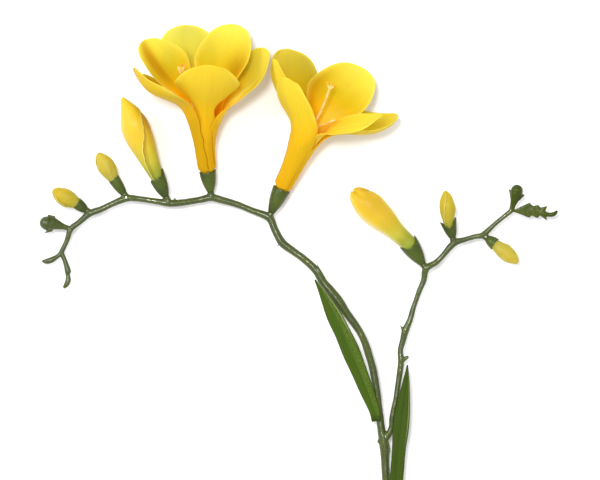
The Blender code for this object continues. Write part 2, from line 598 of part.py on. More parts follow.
for old in list(bpy.data.objects):
    bpy.data.objects.remove(old)
materials = {name: material_of(name) for name in FINISHES}
spray = bpy.data.objects.new("spray", None)
bpy.context.scene.collection.objects.link(spray)

stem()
for side, data in BLOOMS.items():
    cup("cup_bloom_" + side, data["node"], data["base"], data["rim"],
        [(100.0, 0.5, 30.0), (-80.0, 0.4, 30.0)], BLOOM_CUP_DEPTH)
    bloom(side, data)
    stamens(side, data)
for name, data in BUDS.items():
    bud(name, **data)
for name, route in LEAVES.items():
    leaf(name, route)

spray.location = (-CENTRE[0] * MM, -CENTRE[1] * MM, 0.0)
bpy.context.view_layer.update()
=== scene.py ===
import math

import bpy
import numpy as np
from mathutils import Matrix, Vector


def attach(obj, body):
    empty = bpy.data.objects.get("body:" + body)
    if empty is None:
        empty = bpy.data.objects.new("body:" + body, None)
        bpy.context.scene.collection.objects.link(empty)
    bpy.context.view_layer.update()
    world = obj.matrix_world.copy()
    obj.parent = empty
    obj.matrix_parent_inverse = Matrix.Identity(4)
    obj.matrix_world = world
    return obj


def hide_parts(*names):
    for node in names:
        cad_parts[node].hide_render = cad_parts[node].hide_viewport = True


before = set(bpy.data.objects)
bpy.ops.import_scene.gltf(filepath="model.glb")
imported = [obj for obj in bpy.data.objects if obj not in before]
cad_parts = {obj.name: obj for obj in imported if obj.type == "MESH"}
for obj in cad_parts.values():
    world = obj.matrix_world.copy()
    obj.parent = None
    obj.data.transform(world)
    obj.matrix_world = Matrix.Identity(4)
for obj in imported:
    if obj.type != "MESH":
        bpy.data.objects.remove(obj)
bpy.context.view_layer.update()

mm = 0.001
shift = np.array([0.4, 54.7, 0.0])  # millimetres from the photograph's middle to the spray's middle
up = np.array([0.0, 0.0, 1.0])


# Small helpers
def share(x):
    return np.clip(x, 0.0, 1.0)


def ease(x):
    x = share(x)
    return x * x * (3.0 - 2.0 * x)


def unit(v):
    return np.asarray(v, float) / np.linalg.norm(v)


def directions(axis):
    along = unit(axis)
    right = unit(np.cross(along, up))
    return right, along, np.cross(right, along)


def smoothRoute(route, step):
    p = np.asarray(route, float)
    p = np.vstack([2 * p[0] - p[1], p, 2 * p[-1] - p[-2]])
    out = []
    for a, b, c, d in zip(p[:-3], p[1:-2], p[2:-1], p[3:]):
        count = max(1, round(np.linalg.norm((c - b)[:3]) / step))
        for t in np.arange(count) / count:
            out.append(0.5 * (2 * b + (c - a) * t + (2 * a - 5 * b + 4 * c - d) * t**2
                              + (3 * b - a - 3 * c + d) * t**3))
    out.append(p[-2])
    return np.array(out)


def overTable(points, low):  # what would sink in lies flat instead
    points[:, 2] = low + 0.5 * np.log1p(np.exp((points[:, 2] - low) / 0.5))
    return points


def deselectAll():
    if bpy.context.object and bpy.context.object.mode != "OBJECT":
        bpy.ops.object.mode_set(mode="OBJECT")
    bpy.ops.object.select_all(action="DESELECT")


def pick(*pieces):
    deselectAll()
    for piece in pieces:
        piece.select_set(True)
    bpy.context.view_layer.objects.active = pieces[0]


def change(piece, kind, **settings):  # one modifier, applied at once
    pick(piece)
    modifier = piece.modifiers.new(kind.title(), kind)
    for label, value in settings.items():
        setattr(modifier, label, value)
    bpy.ops.object.modifier_apply(modifier=modifier.name)


def joined(name, pieces):
    pick(*pieces)
    if len(pieces) > 1:
        bpy.ops.object.join()
    piece = bpy.context.object
    piece.name = piece.data.name = name
    return piece


def applyPlace():
    bpy.ops.object.transform_apply(location=True, rotation=True, scale=True)


def finishPiece(piece, name, materials, nodes, angle=60):
    piece.name = piece.data.name = name
    pick(piece)
    applyPlace()
    bpy.ops.object.shade_smooth_by_angle(angle=math.radians(angle))
    slots = piece.data.materials
    while len(slots) > len(materials):
        slots.pop()
    while len(slots) < len(materials):
        slots.append(None)
    for index, material in enumerate(materials):
        slots[index] = material
    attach(piece, "root")
    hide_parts(*nodes)


def camelName(name):
    words = name.title().replace("_", "")
    return words[0].lower() + words[1:]


def paintFaces(piece, slots):
    piece.data.polygons.foreach_set("material_index", slots)


def paintPlain(piece):
    piece.data.materials.clear()
    paintFaces(piece, [0] * len(piece.data.polygons))


def markFlankShade(piece):  # painted shade: 0 where a surface faces up, 1 where it stands on edge or faces down, and there the flank colour darkens it
    normals = np.empty(len(piece.data.vertices) * 3)
    piece.data.vertices.foreach_get("normal", normals)
    flankShade = np.clip(1.0 - normals[2::3], 0.0, 1.0)
    piece.data.attributes.new("flankShade", "FLOAT", "POINT").data.foreach_set("value", flankShade)


def sheet(name, columns, rows, place, thickness, rimSlot=0):
    deselectAll()
    bpy.ops.mesh.primitive_grid_add(x_subdivisions=columns, y_subdivisions=rows, size=1.0)
    piece = bpy.context.object
    mesh = piece.data
    flat = np.empty(len(mesh.vertices) * 3)
    mesh.vertices.foreach_get("co", flat)
    flat = flat.reshape(-1, 3)
    points, uv, *toneAndShade = place(flat[:, 0] * 2.0, flat[:, 1] + 0.5)  # across -1 to 1, along 0 to 1
    mesh.vertices.foreach_set("co", ((points + shift) * mm).ravel())
    corners = np.empty(len(mesh.loops), int)
    mesh.loops.foreach_get("vertex_index", corners)
    mesh.uv_layers[0].data.foreach_set("uv", uv[corners].ravel())
    # the optional values mix in tint together with painted shade and light
    if toneAndShade:
        mesh.attributes.new("tintAndPaintedShade", "FLOAT", "POINT").data.foreach_set("value", toneAndShade[0])
    mesh.materials.append(None)
    mesh.materials.append(None)  # the wall's inner face takes the second material
    change(piece, "SOLIDIFY", thickness=thickness * mm, offset=0.0, use_even_offset=False,
           material_offset=1, material_offset_rim=rimSlot)
    change(piece, "SUBSURF", levels=1, render_levels=1)
    piece.name = name
    return piece


def stepsAlong(foot, way, steps):  # each step: how far along the way, and the radius there
    return [(*(np.array(foot) + np.multiply(way, far)), radius) for far, radius in steps]


def rod(route, step=0.8, sides=3):
    points = smoothRoute(route, step)
    deselectAll()
    bpy.ops.curve.primitive_nurbs_path_add()
    piece = bpy.context.object
    curve = piece.data
    curve.splines.clear()
    spline = curve.splines.new("POLY")
    spline.points.add(len(points) - 1)
    for place, (x, y, z, r) in zip(spline.points, points):
        place.co = ((x + shift[0]) * mm, (y + shift[1]) * mm, z * mm, 1.0)
        place.radius = r
    curve.dimensions = "3D"
    curve.bevel_depth = mm
    curve.bevel_resolution = sides
    curve.use_fill_caps = True
    bpy.ops.object.convert(target="MESH")
    return bpy.context.object


def extrudeUp(rings):  # each ring: its height and its radius
    bpy.ops.object.mode_set(mode="EDIT")
    bpy.ops.mesh.select_all(action="SELECT")
    for (z0, r0), (z1, r1) in zip(rings, rings[1:]):
        bpy.ops.mesh.extrude_region_move(TRANSFORM_OT_translate={"value": (0.0, 0.0, (z1 - z0) * mm)})
        bpy.ops.transform.resize(value=(r1 / r0, r1 / r0, 1.0), center_override=(0.0, 0.0, z1 * mm))
    bpy.ops.mesh.select_all(action="SELECT")
    bpy.ops.mesh.normals_make_consistent(inside=False)
    bpy.ops.object.mode_set(mode="OBJECT")


def turned(rings, sides):
    deselectAll()
    low, wide = rings[0]
    bpy.ops.mesh.primitive_circle_add(vertices=sides, radius=wide * mm, fill_type="NGON",
                                      location=(0, 0, low * mm))
    piece = bpy.context.object
    extrudeUp(rings)
    applyPlace()
    return piece


def standOn(piece, foot, axis):
    right, along, front = directions(axis)
    turn = Matrix((front, right, along)).transposed().to_4x4()  # its +X faces the camera
    piece.matrix_world = Matrix.Translation(Vector((np.asarray(foot) + shift) * mm)) @ turn
    pick(piece)
    applyPlace()


# Shared material effects
def feed(tree, socket, value):  # a socket takes a node's output, a colour or a number
    if isinstance(value, bpy.types.NodeSocket):
        tree.links.new(value, socket)
    else:
        socket.default_value = (*value, 1.0) if isinstance(value, tuple) else value


def rampOf(tree, source, stops, smooth="EASE"):
    ramp = tree.nodes.new("ShaderNodeValToRGB")
    ramp.color_ramp.interpolation = smooth
    elements = ramp.color_ramp.elements
    while len(elements) < len(stops):
        elements.new(0.5)
    for element, (at, colour) in zip(elements, stops):
        element.position = at
        element.color = (*colour, 1.0)
    feed(tree, ramp.inputs["Fac"], source)
    return ramp.outputs["Color"]


def maskOf(tree, source, *pairs):  # each pair: a value of the source and the grey there
    return rampOf(tree, source, [(at, (grey, grey, grey)) for at, grey in pairs])


def mathOf(tree, operation, *values, clamp=False):
    node = tree.nodes.new("ShaderNodeMath")
    node.operation = operation
    node.use_clamp = clamp
    for socket, value in zip(node.inputs, values):
        feed(tree, socket, value)
    return node.outputs[0]


def noiseOf(tree, coords, scale, detail, roughness=0.5):
    noise = tree.nodes.new("ShaderNodeTexNoise")
    noise.inputs["Detail"].default_value = detail
    noise.inputs["Roughness"].default_value = roughness
    feed(tree, noise.inputs["Vector"], coords)
    feed(tree, noise.inputs["Scale"], scale)
    return noise.outputs["Fac"]


def blendColour(tree, kind, amount, under, over, factor=None):
    mix = tree.nodes.new("ShaderNodeMix")
    mix.data_type = "RGBA"
    mix.blend_type = kind
    if factor is not None:
        amount = mathOf(tree, "MULTIPLY", factor, amount, clamp=True)
    feed(tree, mix.inputs[0], amount)
    feed(tree, mix.inputs[6], under)
    feed(tree, mix.inputs[7], over)
    return mix.outputs[2]


def layered(tree, colour, *layers):  # each layer: how it blends, how much, its colour and its mask
    for kind, amount, over, mask in layers:
        colour = blendColour(tree, kind, amount, colour, over, mask)
    return colour


def both(tree, mask, other):  # where both masks are light
    return blendColour(tree, "MULTIPLY", 1.0, mask, other)


def attributeOf(tree, name):
    node = tree.nodes.new("ShaderNodeAttribute")
    node.attribute_name = name
    return node.outputs["Fac"]


def newGroup(name, inputs, outputs):
    group = bpy.data.node_groups.new(name, "ShaderNodeTree")
    group.interface.new_socket("Coords", in_out="INPUT", socket_type="NodeSocketVector")
    for label, value in inputs:
        socket = group.interface.new_socket(label, in_out="INPUT", socket_type="NodeSocketFloat")
        socket.default_value = value
    for label in outputs:
        group.interface.new_socket(label, in_out="OUTPUT", socket_type="NodeSocketFloat")
    return group, group.nodes.new("NodeGroupInput").outputs, group.nodes.new("NodeGroupOutput").inputs


def veinGroup():  # streaks that run along the surface
    tree, given, result = newGroup("veins", [("Count", 30.0), ("Stretch", 1.0)], ["Line", "Relief"])
    split = tree.nodes.new("ShaderNodeSeparateXYZ")
    feed(tree, split.inputs[0], given["Coords"])
    scaled = tree.nodes.new("ShaderNodeCombineXYZ")
    for axis, factor in (("X", "Count"), ("Y", "Stretch")):
        feed(tree, scaled.inputs[axis], mathOf(tree, "MULTIPLY", split.outputs[axis], given[factor]))
    streaks = noiseOf(tree, scaled.outputs[0], 1.0, 3.0, 0.55)
    feed(tree, result["Line"], maskOf(tree, streaks, (0.36, 0.0), (0.64, 1.0)))
    feed(tree, result["Relief"], streaks)
    return tree


def mottleGroup():  # broad patches and a fine grain
    tree, given, result = newGroup("mottle", [("Size", 200.0)], ["Patch", "Grain"])
    broad = noiseOf(tree, given["Coords"], given["Size"], 2.0)
    feed(tree, result["Patch"], maskOf(tree, broad, (0.35, 0.0), (0.65, 1.0)))
    fineSize = mathOf(tree, "MULTIPLY", given["Size"], 7.0)
    feed(tree, result["Grain"], noiseOf(tree, given["Coords"], fineSize, 3.0))
    return tree


veins = veinGroup()
mottle = mottleGroup()


def placed(tree, group, coords, **values):
    node = tree.nodes.new("ShaderNodeGroup")
    node.node_tree = group
    feed(tree, node.inputs["Coords"], coords)
    for label, value in values.items():
        node.inputs[label].default_value = value
    return node.outputs


def startMaterial(name, colour, roughness, **sockets):
    material = bpy.data.materials.new(name)
    material.use_nodes = True
    material.diffuse_color = (*colour, 1.0)
    tree = material.node_tree
    shader = tree.nodes["Principled BSDF"].inputs
    shader["Roughness"].default_value = roughness
    for label, value in sockets.items():
        shader[label.replace("_", " ")].default_value = value
    return material, tree, shader, tree.nodes.new("ShaderNodeTexCoord").outputs


def acrossAndAlong(tree, coords):
    split = tree.nodes.new("ShaderNodeSeparateXYZ")
    feed(tree, split.inputs[0], coords["UV"])
    return split.outputs["X"], split.outputs["Y"]


def marginOf(tree, across, *pairs):  # each pair: how far from the nearer edge, and the grey there
    return maskOf(tree, mathOf(tree, "PINGPONG", across, 0.5), *pairs)


def tintedAndShaded(tree, colour, finish):  # the attribute above 0 mixes in the golden colour, a deeper tint and painted shade; below 0 the fresh one, a paler tint and painted light
    warm = attributeOf(tree, "tintAndPaintedShade")
    colour = blendColour(tree, "MIX", 1.0, colour, finish["goldenTintAndShade"], warm)
    paleTintAndLight = mathOf(tree, "MULTIPLY", warm, -1.0, clamp=True)
    return blendColour(tree, "MIX", 1.0, colour, finish["paleTintAndLight"], paleTintAndLight)


def roughnessOf(tree, shader, grain, low, high):
    feed(tree, shader["Roughness"], maskOf(tree, grain, (0.3, low), (0.7, high)))


def reliefOf(tree, shader, height, strength, distance):
    bump = tree.nodes.new("ShaderNodeBump")
    bump.inputs["Strength"].default_value = strength
    bump.inputs["Distance"].default_value = distance
    feed(tree, bump.inputs["Height"], height)
    feed(tree, shader["Normal"], bump.outputs["Normal"])


# On petals U runs across from edge to edge, and V is the way from the cup over 60 mm.
petalFinish = {
    "outside": [
        (0.02, (0.76, 0.34, 0.006)), (0.22, (0.78, 0.38, 0.008)), (0.36, (0.72, 0.4, 0.01)),
        (0.52, (0.6, 0.42, 0.02)), (0.8, (0.62, 0.46, 0.04)), (0.95, (0.64, 0.5, 0.056))],
    # the inside deepens towards the throat: the flower's own deeper colour there, and painted shade of the
    # throat
    "inside": [
        (0.1, (0.44, 0.12, 0.001)), (0.36, (0.64, 0.2, 0.001)), (0.46, (0.72, 0.29, 0.001)),
        (0.54, (0.68, 0.36, 0.003)), (0.66, (0.66, 0.44, 0.012)), (0.8, (0.69, 0.54, 0.05)),
        (0.93, (0.72, 0.61, 0.095))],
    # painted light: the throat's glow and its strength, an emission that brightens the shaded throat
    "paintedThroatGlow": [
        (0.2, (0.0, 0.0, 0.0)), (0.36, (1.0, 0.3, 0.0)), (0.52, (1.0, 0.36, 0.0)), (0.64, (0.0, 0.0, 0.0))],
    "paintedGlowStrength": 0.16, "thinness": 0.5, "thinColour": (1.0, 0.65, 0.05), "roughness": 0.55,
    # golden is a deeper tint and painted shade, fresh a paler tint and painted light
    "gloss": 0.03, "margin": (0.76, 0.64, 0.12), "goldenTintAndShade": (0.34, 0.18, 0.001), "paleTintAndLight": (0.92, 0.82, 0.13),
    # seam is the colour of painted shade along the tube's seams
    "seam": (0.34, 0.09, 0.002), "vein": (0.93, 0.8, 0.55), "blotch": (0.95, 0.86, 0.7),
}


def petalMaterial(name, stops, paintedThroatGlow=None):
    finish = petalFinish
    material, tree, shader, coords = startMaterial(
        name, stops[-2][1], finish["roughness"], Specular_IOR_Level=finish["gloss"],
        Subsurface_Weight=finish["thinness"], Subsurface_Scale=0.004,
        Subsurface_Radius=finish["thinColour"])
    across, along = acrossAndAlong(tree, coords)
    patch = placed(tree, mottle, coords["Object"], Size=90.0)
    vein = placed(tree, veins, coords["UV"], Count=26.0, Stretch=3.0)
    # the veins carry the colour up unevenly, only the blade has a pale margin, and painted shade darkens the
    # tube's seam where a petal's edge lies over the next
    wander = mathOf(tree, "MULTIPLY_ADD", vein["Relief"], 0.06, along)
    colour = rampOf(tree, wander, [(at + 0.03, tint) for at, tint in stops], "LINEAR")
    colour = blendColour(tree, "MULTIPLY", 0.22, colour, finish["vein"], vein["Line"])
    edge = marginOf(tree, across, (0.0, 1.0), (0.04, 0.5), (0.10, 0.0))
    blade = maskOf(tree, along, (0.36, 0.0), (0.56, 1.0))
    paintedOverlapShade = maskOf(tree, across, (0.965, 0.0), (0.985, 0.9), (1.0, 1.0))
    below = maskOf(tree, along, (0.34, 1.0), (0.42, 0.0))
    colour = layered(
        tree, tintedAndShaded(tree, colour, finish),
        ("MIX", 0.35, finish["margin"], both(tree, edge, blade)),
        ("MIX", 0.75, finish["seam"], both(tree, paintedOverlapShade, below)),
        ("MULTIPLY", 0.10, finish["blotch"], patch["Patch"]))
    feed(tree, shader["Base Color"], colour)
    if paintedThroatGlow:  # painted glow: the inner faces near the throat give off light, standing in for the light that the thin petals let through into its shade
        feed(tree, shader["Emission Color"], rampOf(tree, along, paintedThroatGlow, "LINEAR"))
        shader["Emission Strength"].default_value = finish["paintedGlowStrength"]
    roughnessOf(tree, shader, patch["Grain"], 0.42, 0.56)
    reliefOf(tree, shader, vein["Relief"], 0.35, 0.0003)
    return material


petalOutside = petalMaterial("petalOutside", petalFinish["outside"])
petalInside = petalMaterial("petalInside", petalFinish["inside"], petalFinish["paintedThroatGlow"])


# Blooms
petalDefaults = dict(widest=0.6, point=0.5, power=2, claw=2.8, pinch=1, roll=0, warm=0, tintAndShadeSpots=())
innerPetal = dict(petalDefaults, whorl="inner", baseRadius=2.8, throatRadius=4.7)
outerPetal = dict(petalDefaults, whorl="outer", baseRadius=2.7, throatRadius=5.15)
# each petal's warm value and patches give it a deeper or paler tint together with painted shade and light
blooms = {
    "left": dict(
        node=(-31.9, 15.4, 5.4), base=(-33.3, 24.5, 6.3), azimuth=97.5, tilt=15, bend=10, rim=3,
        throat=1.25,
        petals=dict(
            front=dict(
                innerPetal, azimuth=1, tube=22, length=26.4, flare=44, tip=9, half=12.6, widest=0.43,
                point=0.52, cup=24, claw=4.4, clawRight=3.2, pinch=2.4, warm=0.15),
            lowerLeft=dict(
                outerPetal, azimuth=-70, tube=20.5, length=31, flare=70, tip=5, half=11.6, halfRight=12,
                widest=0.52, point=0.62, cup=15, clawRight=6.4, pinch=1.4, rightSeam=(-23, 15), roll=-1,
                warm=0.38, tintAndShadeSpots=[(-0.8, 0.7, 0.5, 0.4, 0.6)]),
            upperLeft=dict(
                innerPetal, azimuth=-116, tube=22.5, length=31, flare=50, tip=33, half=10.4, halfRight=11.4,
                cup=16, clawRight=4, roll=-20, tintAndShadeSpots=[(0.28, 0.66, 0.36, 0.4, 1.1)]),
            backLeft=dict(
                outerPetal, azimuth=-156, tube=22.5, length=32, flare=38, tip=28, half=11.4, cup=34,
                roll=-20, warm=-0.12),
            backRight=dict(
                innerPetal, azimuth=142, tube=22.5, length=32, flare=27, tip=16, half=14, halfRight=12.2,
                widest=0.54, cup=20, claw=5.5, clawRight=2.8, tintAndShadeSpots=[(-0.5, 0.42, 0.5, 0.26, 0.9)]),
            right=dict(
                outerPetal, azimuth=98, tube=20, length=31.5, flare=46.5, tip=-2, half=9.8, widest=0.62,
                cup=16, power=2.6, claw=7.6, leftSeam=(30, 85), roll=18,
                tintAndShadeSpots=[(0, 0.8, 1, 0.3, -0.2), (-0.25, 0.3, 0.38, 0.24, -0.9)]))),
    "right": dict(
        node=(-11.2, 8.1, 5.3), base=(-6.7, 18.3, 5.8), azimuth=63, tilt=17, bend=-5, rim=3.2, throat=0.3,
        petals=dict(
            front=dict(
                outerPetal, azimuth=-48, tube=22, length=24.4, flare=38, tip=24, half=7, widest=0.5,
                point=0.4, cup=20, claw=5.4, clawRight=9.8, halfRight=8.2, rightSeam=(56, 36), roll=20),
            lowerRight=dict(
                innerPetal, azimuth=66, tube=22.5, length=29.4, flare=56, tip=32, half=6.2, widest=0.44,
                cup=16, claw=3.3, clawRight=5, roll=30,
                tintAndShadeSpots=[(0.3, 0.12, 0.8, 0.15, -0.3), (0, 0.5, 1.5, 0.28, -0.22), (0, 1, 1.2, 0.3, 0.35)]),
            right=dict(
                outerPetal, azimuth=105, tube=21, length=32, flare=71, tip=12, half=12, widest=0.54,
                point=0.75, cup=14, claw=3.4, leftSeam=(50, 34),
                tintAndShadeSpots=[(0, 0.12, 1.2, 0.2, -0.3), (0, 1, 1.5, 0.3, 0.25)]),
            backRight=dict(
                innerPetal, azimuth=145, tube=22.5, length=30.2, flare=31, tip=26, half=13.4, widest=0.46,
                point=0.46, cup=20, claw=4, roll=10,
                tintAndShadeSpots=[
                    (0.9, 0.36, 0.3, 0.4, 0.8), (-0.2, 0.24, 0.6, 0.22, -0.45), (0, 0.6, 1.2, 0.4, 0.15)]),
            backLeft=dict(
                outerPetal, azimuth=-132, tube=22.5, length=30, flare=48, tip=36, half=11, cup=22,
                power=2.4, roll=-6, warm=0.35),
            left=dict(
                innerPetal, azimuth=-82, tube=21, length=29, flare=43, tip=20, half=5.4, widest=0.55,
                cup=10, roll=36))),
}
petalWall = 0.34  # millimetres, of petals and buds
petalGrid = (22, 46)  # faces across and along
fullV = 60.0  # millimetres from the cup to where V is 1
sleeve = [(-2.4, 1.75), (0, 2), (0.5, 2.2), (1.3, 3.15), (4, 3.3), (8, 3.5), (13, 3.95), (17, 4.45)]


# each spot: its place across and along, two widths and its amount
def spotted(spots, across, along, turn=None):
    total = np.zeros(len(along))
    for at, there, wide, deep, amount in spots:
        off = across - at if turn is None else (across - at + turn / 2.0) % turn - turn / 2.0
        total += amount * np.exp(-(off / wide) ** 2 - ((along - there) / deep) ** 2)
    return total


def petalPlace(data, bloom, seamLeft, seamRight, seed):
    widest, tube, length = data["widest"], data["tube"], data["length"]
    turn = math.radians(data["azimuth"])
    out = np.array([math.sin(turn), 0.0, math.cos(turn)])
    across = np.array([math.cos(turn), 0.0, -math.sin(turn)])
    upward = np.array([0.0, 1.0, 0.0])
    s = np.linspace(0.0, tube + length, 500)
    q = np.minimum((s - tube) / length, 1.0)
    leanTube = math.asin((data["throatRadius"] - data["baseRadius"]) / tube)
    lean = leanTube + (math.radians(data["flare"]) - leanTube) * ease((q + 0.12) / 0.47)
    lean = lean + math.radians(data["tip"] - data["flare"]) * share((q - 0.45) / 0.55) ** 1.5
    radius = data["baseRadius"] + np.cumsum(np.sin(lean)) * s[1]
    height = np.cumsum(np.cos(lean)) * s[1]
    heights = [h for h, r in sleeve] + [tube + 1.0]
    inset = 0.36 if data["whorl"] == "inner" else 0.0  # the inner petals stand inside the outer ones
    radii = [r - inset * min(1.0, max(0.25, h / 3.0)) for h, r in sleeve]
    radii.append(float(np.interp(tube + 1.0, s, radius)))

    def place(v, u):
        low = 0.16  # this share of the rows covers the foot, from -2.2 mm to 3 mm
        start = np.where(u < low, -2.2 + 5.2 * (u / low), 0.0)
        rise = share((u - low) / (1.0 - low))
        middle = np.where(u < low, start, 3.0 + (s[-1] - 3.0) * (1.0 - (1.0 - rise) ** 1.2))
        asCad = 1.0 - (1.0 - share((middle - 12.0) / (s[-1] - 12.0))) ** 0.8
        droop = (1.0 - widest) * length * 0.09 * ease(asCad * 1.6 - 0.6)
        part = (middle - droop - tube) / length
        neck = np.where(v > 0.0, data.get("clawRight", data["claw"]), data["claw"])
        full = np.where(v > 0.0, data.get("halfRight", data["half"]), data["half"])
        blade = full * (1.0 - share((part - widest) / (1.0 - widest)) ** data["power"]) ** data["point"]
        at = middle - droop * np.abs(v) ** 1.8
        r = np.where(at < tube + 1.0, np.interp(at, heights, radii), np.interp(at, s, radius))
        h = np.where(at < 0.0, at, np.interp(at, s, height))
        r = r + bloom["throat"] * ease((at - 9.0) / 13.0) * (1.0 - ease((at - tube - 2.0) / 14.0))
        a = np.interp(at, s, lean)
        fall = share(1.0 - middle / tube)
        seam = np.where(v < 0.0, seamLeft[0] + (seamLeft[1] - seamLeft[0]) * fall,
                        seamRight[0] + (seamRight[1] - seamRight[0]) * fall)
        ragged = 3.6 * np.sin(middle * 0.9 + seed) + 2.6 * np.sin(middle * 1.7 + 2.0 * seed)
        wrap = np.radians(np.abs(seam) + 4.0 + ragged) * r
        claw = wrap + (neck - wrap) * ease((at - tube + 5.0) / 6.0)
        spread = ease(part / widest) ** data["pinch"]
        width = np.where(part < widest, claw + (full - claw) * spread, blade)
        curve = r + (data["cup"] - r) * ease((at - tube) / length / 0.8)
        curve = np.maximum(np.maximum(curve, np.where(at < tube, 0.0, width / 1.6)), 0.3)
        inward = upward * np.sin(a)[:, None] - out * np.cos(a)[:, None]
        roll = (np.radians(data["roll"]) * ease((at - tube + 1.0) / 12.0))[:, None]
        rolled = np.cos(roll) * across + np.sin(roll) * inward  # the blade turns about its own midrib
        inward = np.cos(roll) * inward - np.sin(roll) * across
        b = v * width / curve
        blown = ease((at - tube - 4.0) / 10.0)
        wave = 0.32 * np.sin(u * 19.0 + 2.6 * v + seed) * np.abs(v) ** 2.5 * blown
        wave = wave + 0.16 * np.sin(u * 11.0 + 5.0 * v + 2.0 * seed) * blown
        crease = 0.35 * np.exp(-(v / 0.13) ** 2) * ease((at - tube + 4.0) / 8.0) * ease((1.0 - part) * 2.5)
        tuck = 0.14 * v * (1.0 - ease((at - tube) / 6.0))
        points = upward * h[:, None] + out * (r + tuck)[:, None]
        points = points + curve[:, None] * (np.sin(b)[:, None] * rolled
                                            + (1.0 - np.cos(b))[:, None] * inward)
        points = points + (wave - crease)[:, None] * inward
        uv = np.column_stack([(v + 1.0) / 2.0, np.clip(middle, -2.0, fullV) / fullV])
        # painted shade and light, with tint, over the petal
        tintAndPaintedShade = data["warm"] + spotted(data["tintAndShadeSpots"], v, part)
        return overTable(toSpray(points, bloom), petalWall * 0.6), uv, np.clip(tintAndPaintedShade, -1.0, 1.0)

    return place


def toSpray(points, bloom):
    heights = np.linspace(-8.0, 90.0, 400)
    turns = math.radians(bloom["bend"]) * ease(heights / 24.0)
    step = heights[1] - heights[0]
    sideways = np.cumsum(np.sin(turns)) * step
    upwards = np.cumsum(np.cos(turns)) * step
    sideways = sideways - np.interp(0.0, heights, sideways)
    upwards = upwards - np.interp(0.0, heights, upwards)
    turn = np.interp(points[:, 1], heights, turns)
    x = np.interp(points[:, 1], heights, sideways) + points[:, 0] * np.cos(turn)
    y = np.interp(points[:, 1], heights, upwards) - points[:, 0] * np.sin(turn)
    az, tilt = math.radians(bloom["azimuth"]), math.radians(bloom["tilt"])
    right, along, front = directions((math.cos(az) * math.cos(tilt), math.sin(az) * math.cos(tilt),
                                      math.sin(tilt)))
    return np.array(bloom["base"]) + np.outer(x, right) + np.outer(y, along) + np.outer(points[:, 2], front)


def makeBloom(side, bloom):
    petals = bloom["petals"]
    for whorl in ("inner", "outer"):
        names = sorted((n for n in petals if petals[n]["whorl"] == whorl),
                       key=lambda n: petals[n]["azimuth"] % 360)
        for i, name in enumerate(names):
            data = petals[name]
            middle = data["azimuth"]
            before = (middle - petals[names[i - 1]]["azimuth"]) % 360 / 2.0
            after = (petals[names[(i + 1) % 3]]["azimuth"] - middle) % 360 / 2.0
            seamLeft = [at - middle for at in data.get("leftSeam", (middle - before,) * 2)]
            seamRight = [at - middle for at in data.get("rightSeam", (middle + after,) * 2)]
            place = petalPlace(data, bloom, seamLeft, seamRight, len(name) + 3.0 * i)
            piece = sheet(name, *petalGrid, place, petalWall, rimSlot=1)
            label = side + "Petal" + name[0].upper() + name[1:]
            finishPiece(piece, label, (petalOutside, petalInside), ("bloom_" + side,))
    print("bloom", side, "made")


for side, bloom in blooms.items():
    makeBloom(side, bloom)


# Styles and stamens
stamenFinish = {
    "creamStyle": dict(
        colour=(0.8, 0.58, 0.18), pale=(0.86, 0.66, 0.26), deep=(0.74, 0.46, 0.09), patchy=0.7,
        roughness=0.5, thinness=0.2, size=500.0, relief=0.3, depth=0.0001),
    "orangeTips": dict(
        colour=(0.85, 0.42, 0.02), pale=(0.8, 0.44, 0.02), deep=(0.72, 0.26, 0.004), patchy=1.0,
        roughness=0.7, thinness=0.0, size=900.0, relief=0.6, depth=0.0002),
}


def stamenMaterial(name):
    finish = stamenFinish[name]
    material, tree, shader, coords = startMaterial(
        name, finish["colour"], finish["roughness"],
        Subsurface_Weight=finish["thinness"], Subsurface_Scale=0.001)
    patch = placed(tree, mottle, coords["Object"], Size=finish["size"])
    colour = blendColour(tree, "MIX", finish["patchy"], finish["pale"], finish["deep"], patch["Patch"])
    feed(tree, shader["Base Color"], colour)
    reliefOf(tree, shader, patch["Grain"], finish["relief"], finish["depth"])
    return material


cream, pollen = stamenMaterial("creamStyle"), stamenMaterial("orangeTips")
stamenLines = {
    "left": dict(
        style=[(0, 0), (-1.4, 10), (-3.6, 17.5), (-6.4, 24.5), (-8.6, 29.3)], front=0, thick=0.42,
        arms=((-0.4, 0.5), (0.8, 0.5)),
        lines=[
            ([(0, 0), (-2.2, 9), (-5.6, 19), (-9.3, 28)], 0.2), ([(0, 0), (1.2, 8), (2.4, 14)], -0.6),
            ([(0, 0), (0.2, 8), (0.8, 15)], -2.4)]),
    "right": dict(
        style=[(0, 0), (0.4, 12), (1.5, 21), (1.8, 27), (1.7, 33.4)], front=0, thick=0.62,
        arms=((-1.5, 0.5), (1.4, 0.6), (0.1, -1.4)),
        lines=[
            ([(0, 0), (0.9, 11), (2.6, 18), (6.2, 22)], 1.6), ([(0, 0), (-0.6, 8), (-1, 14)], -0.4),
            ([(0, 0), (0.6, 8), (1.8, 14)], -2.2)]),
}


def inSpray(route, bloom):
    route = np.asarray(route, float)
    return np.column_stack([toSpray(route[:, :3], bloom), route[:, 3]])


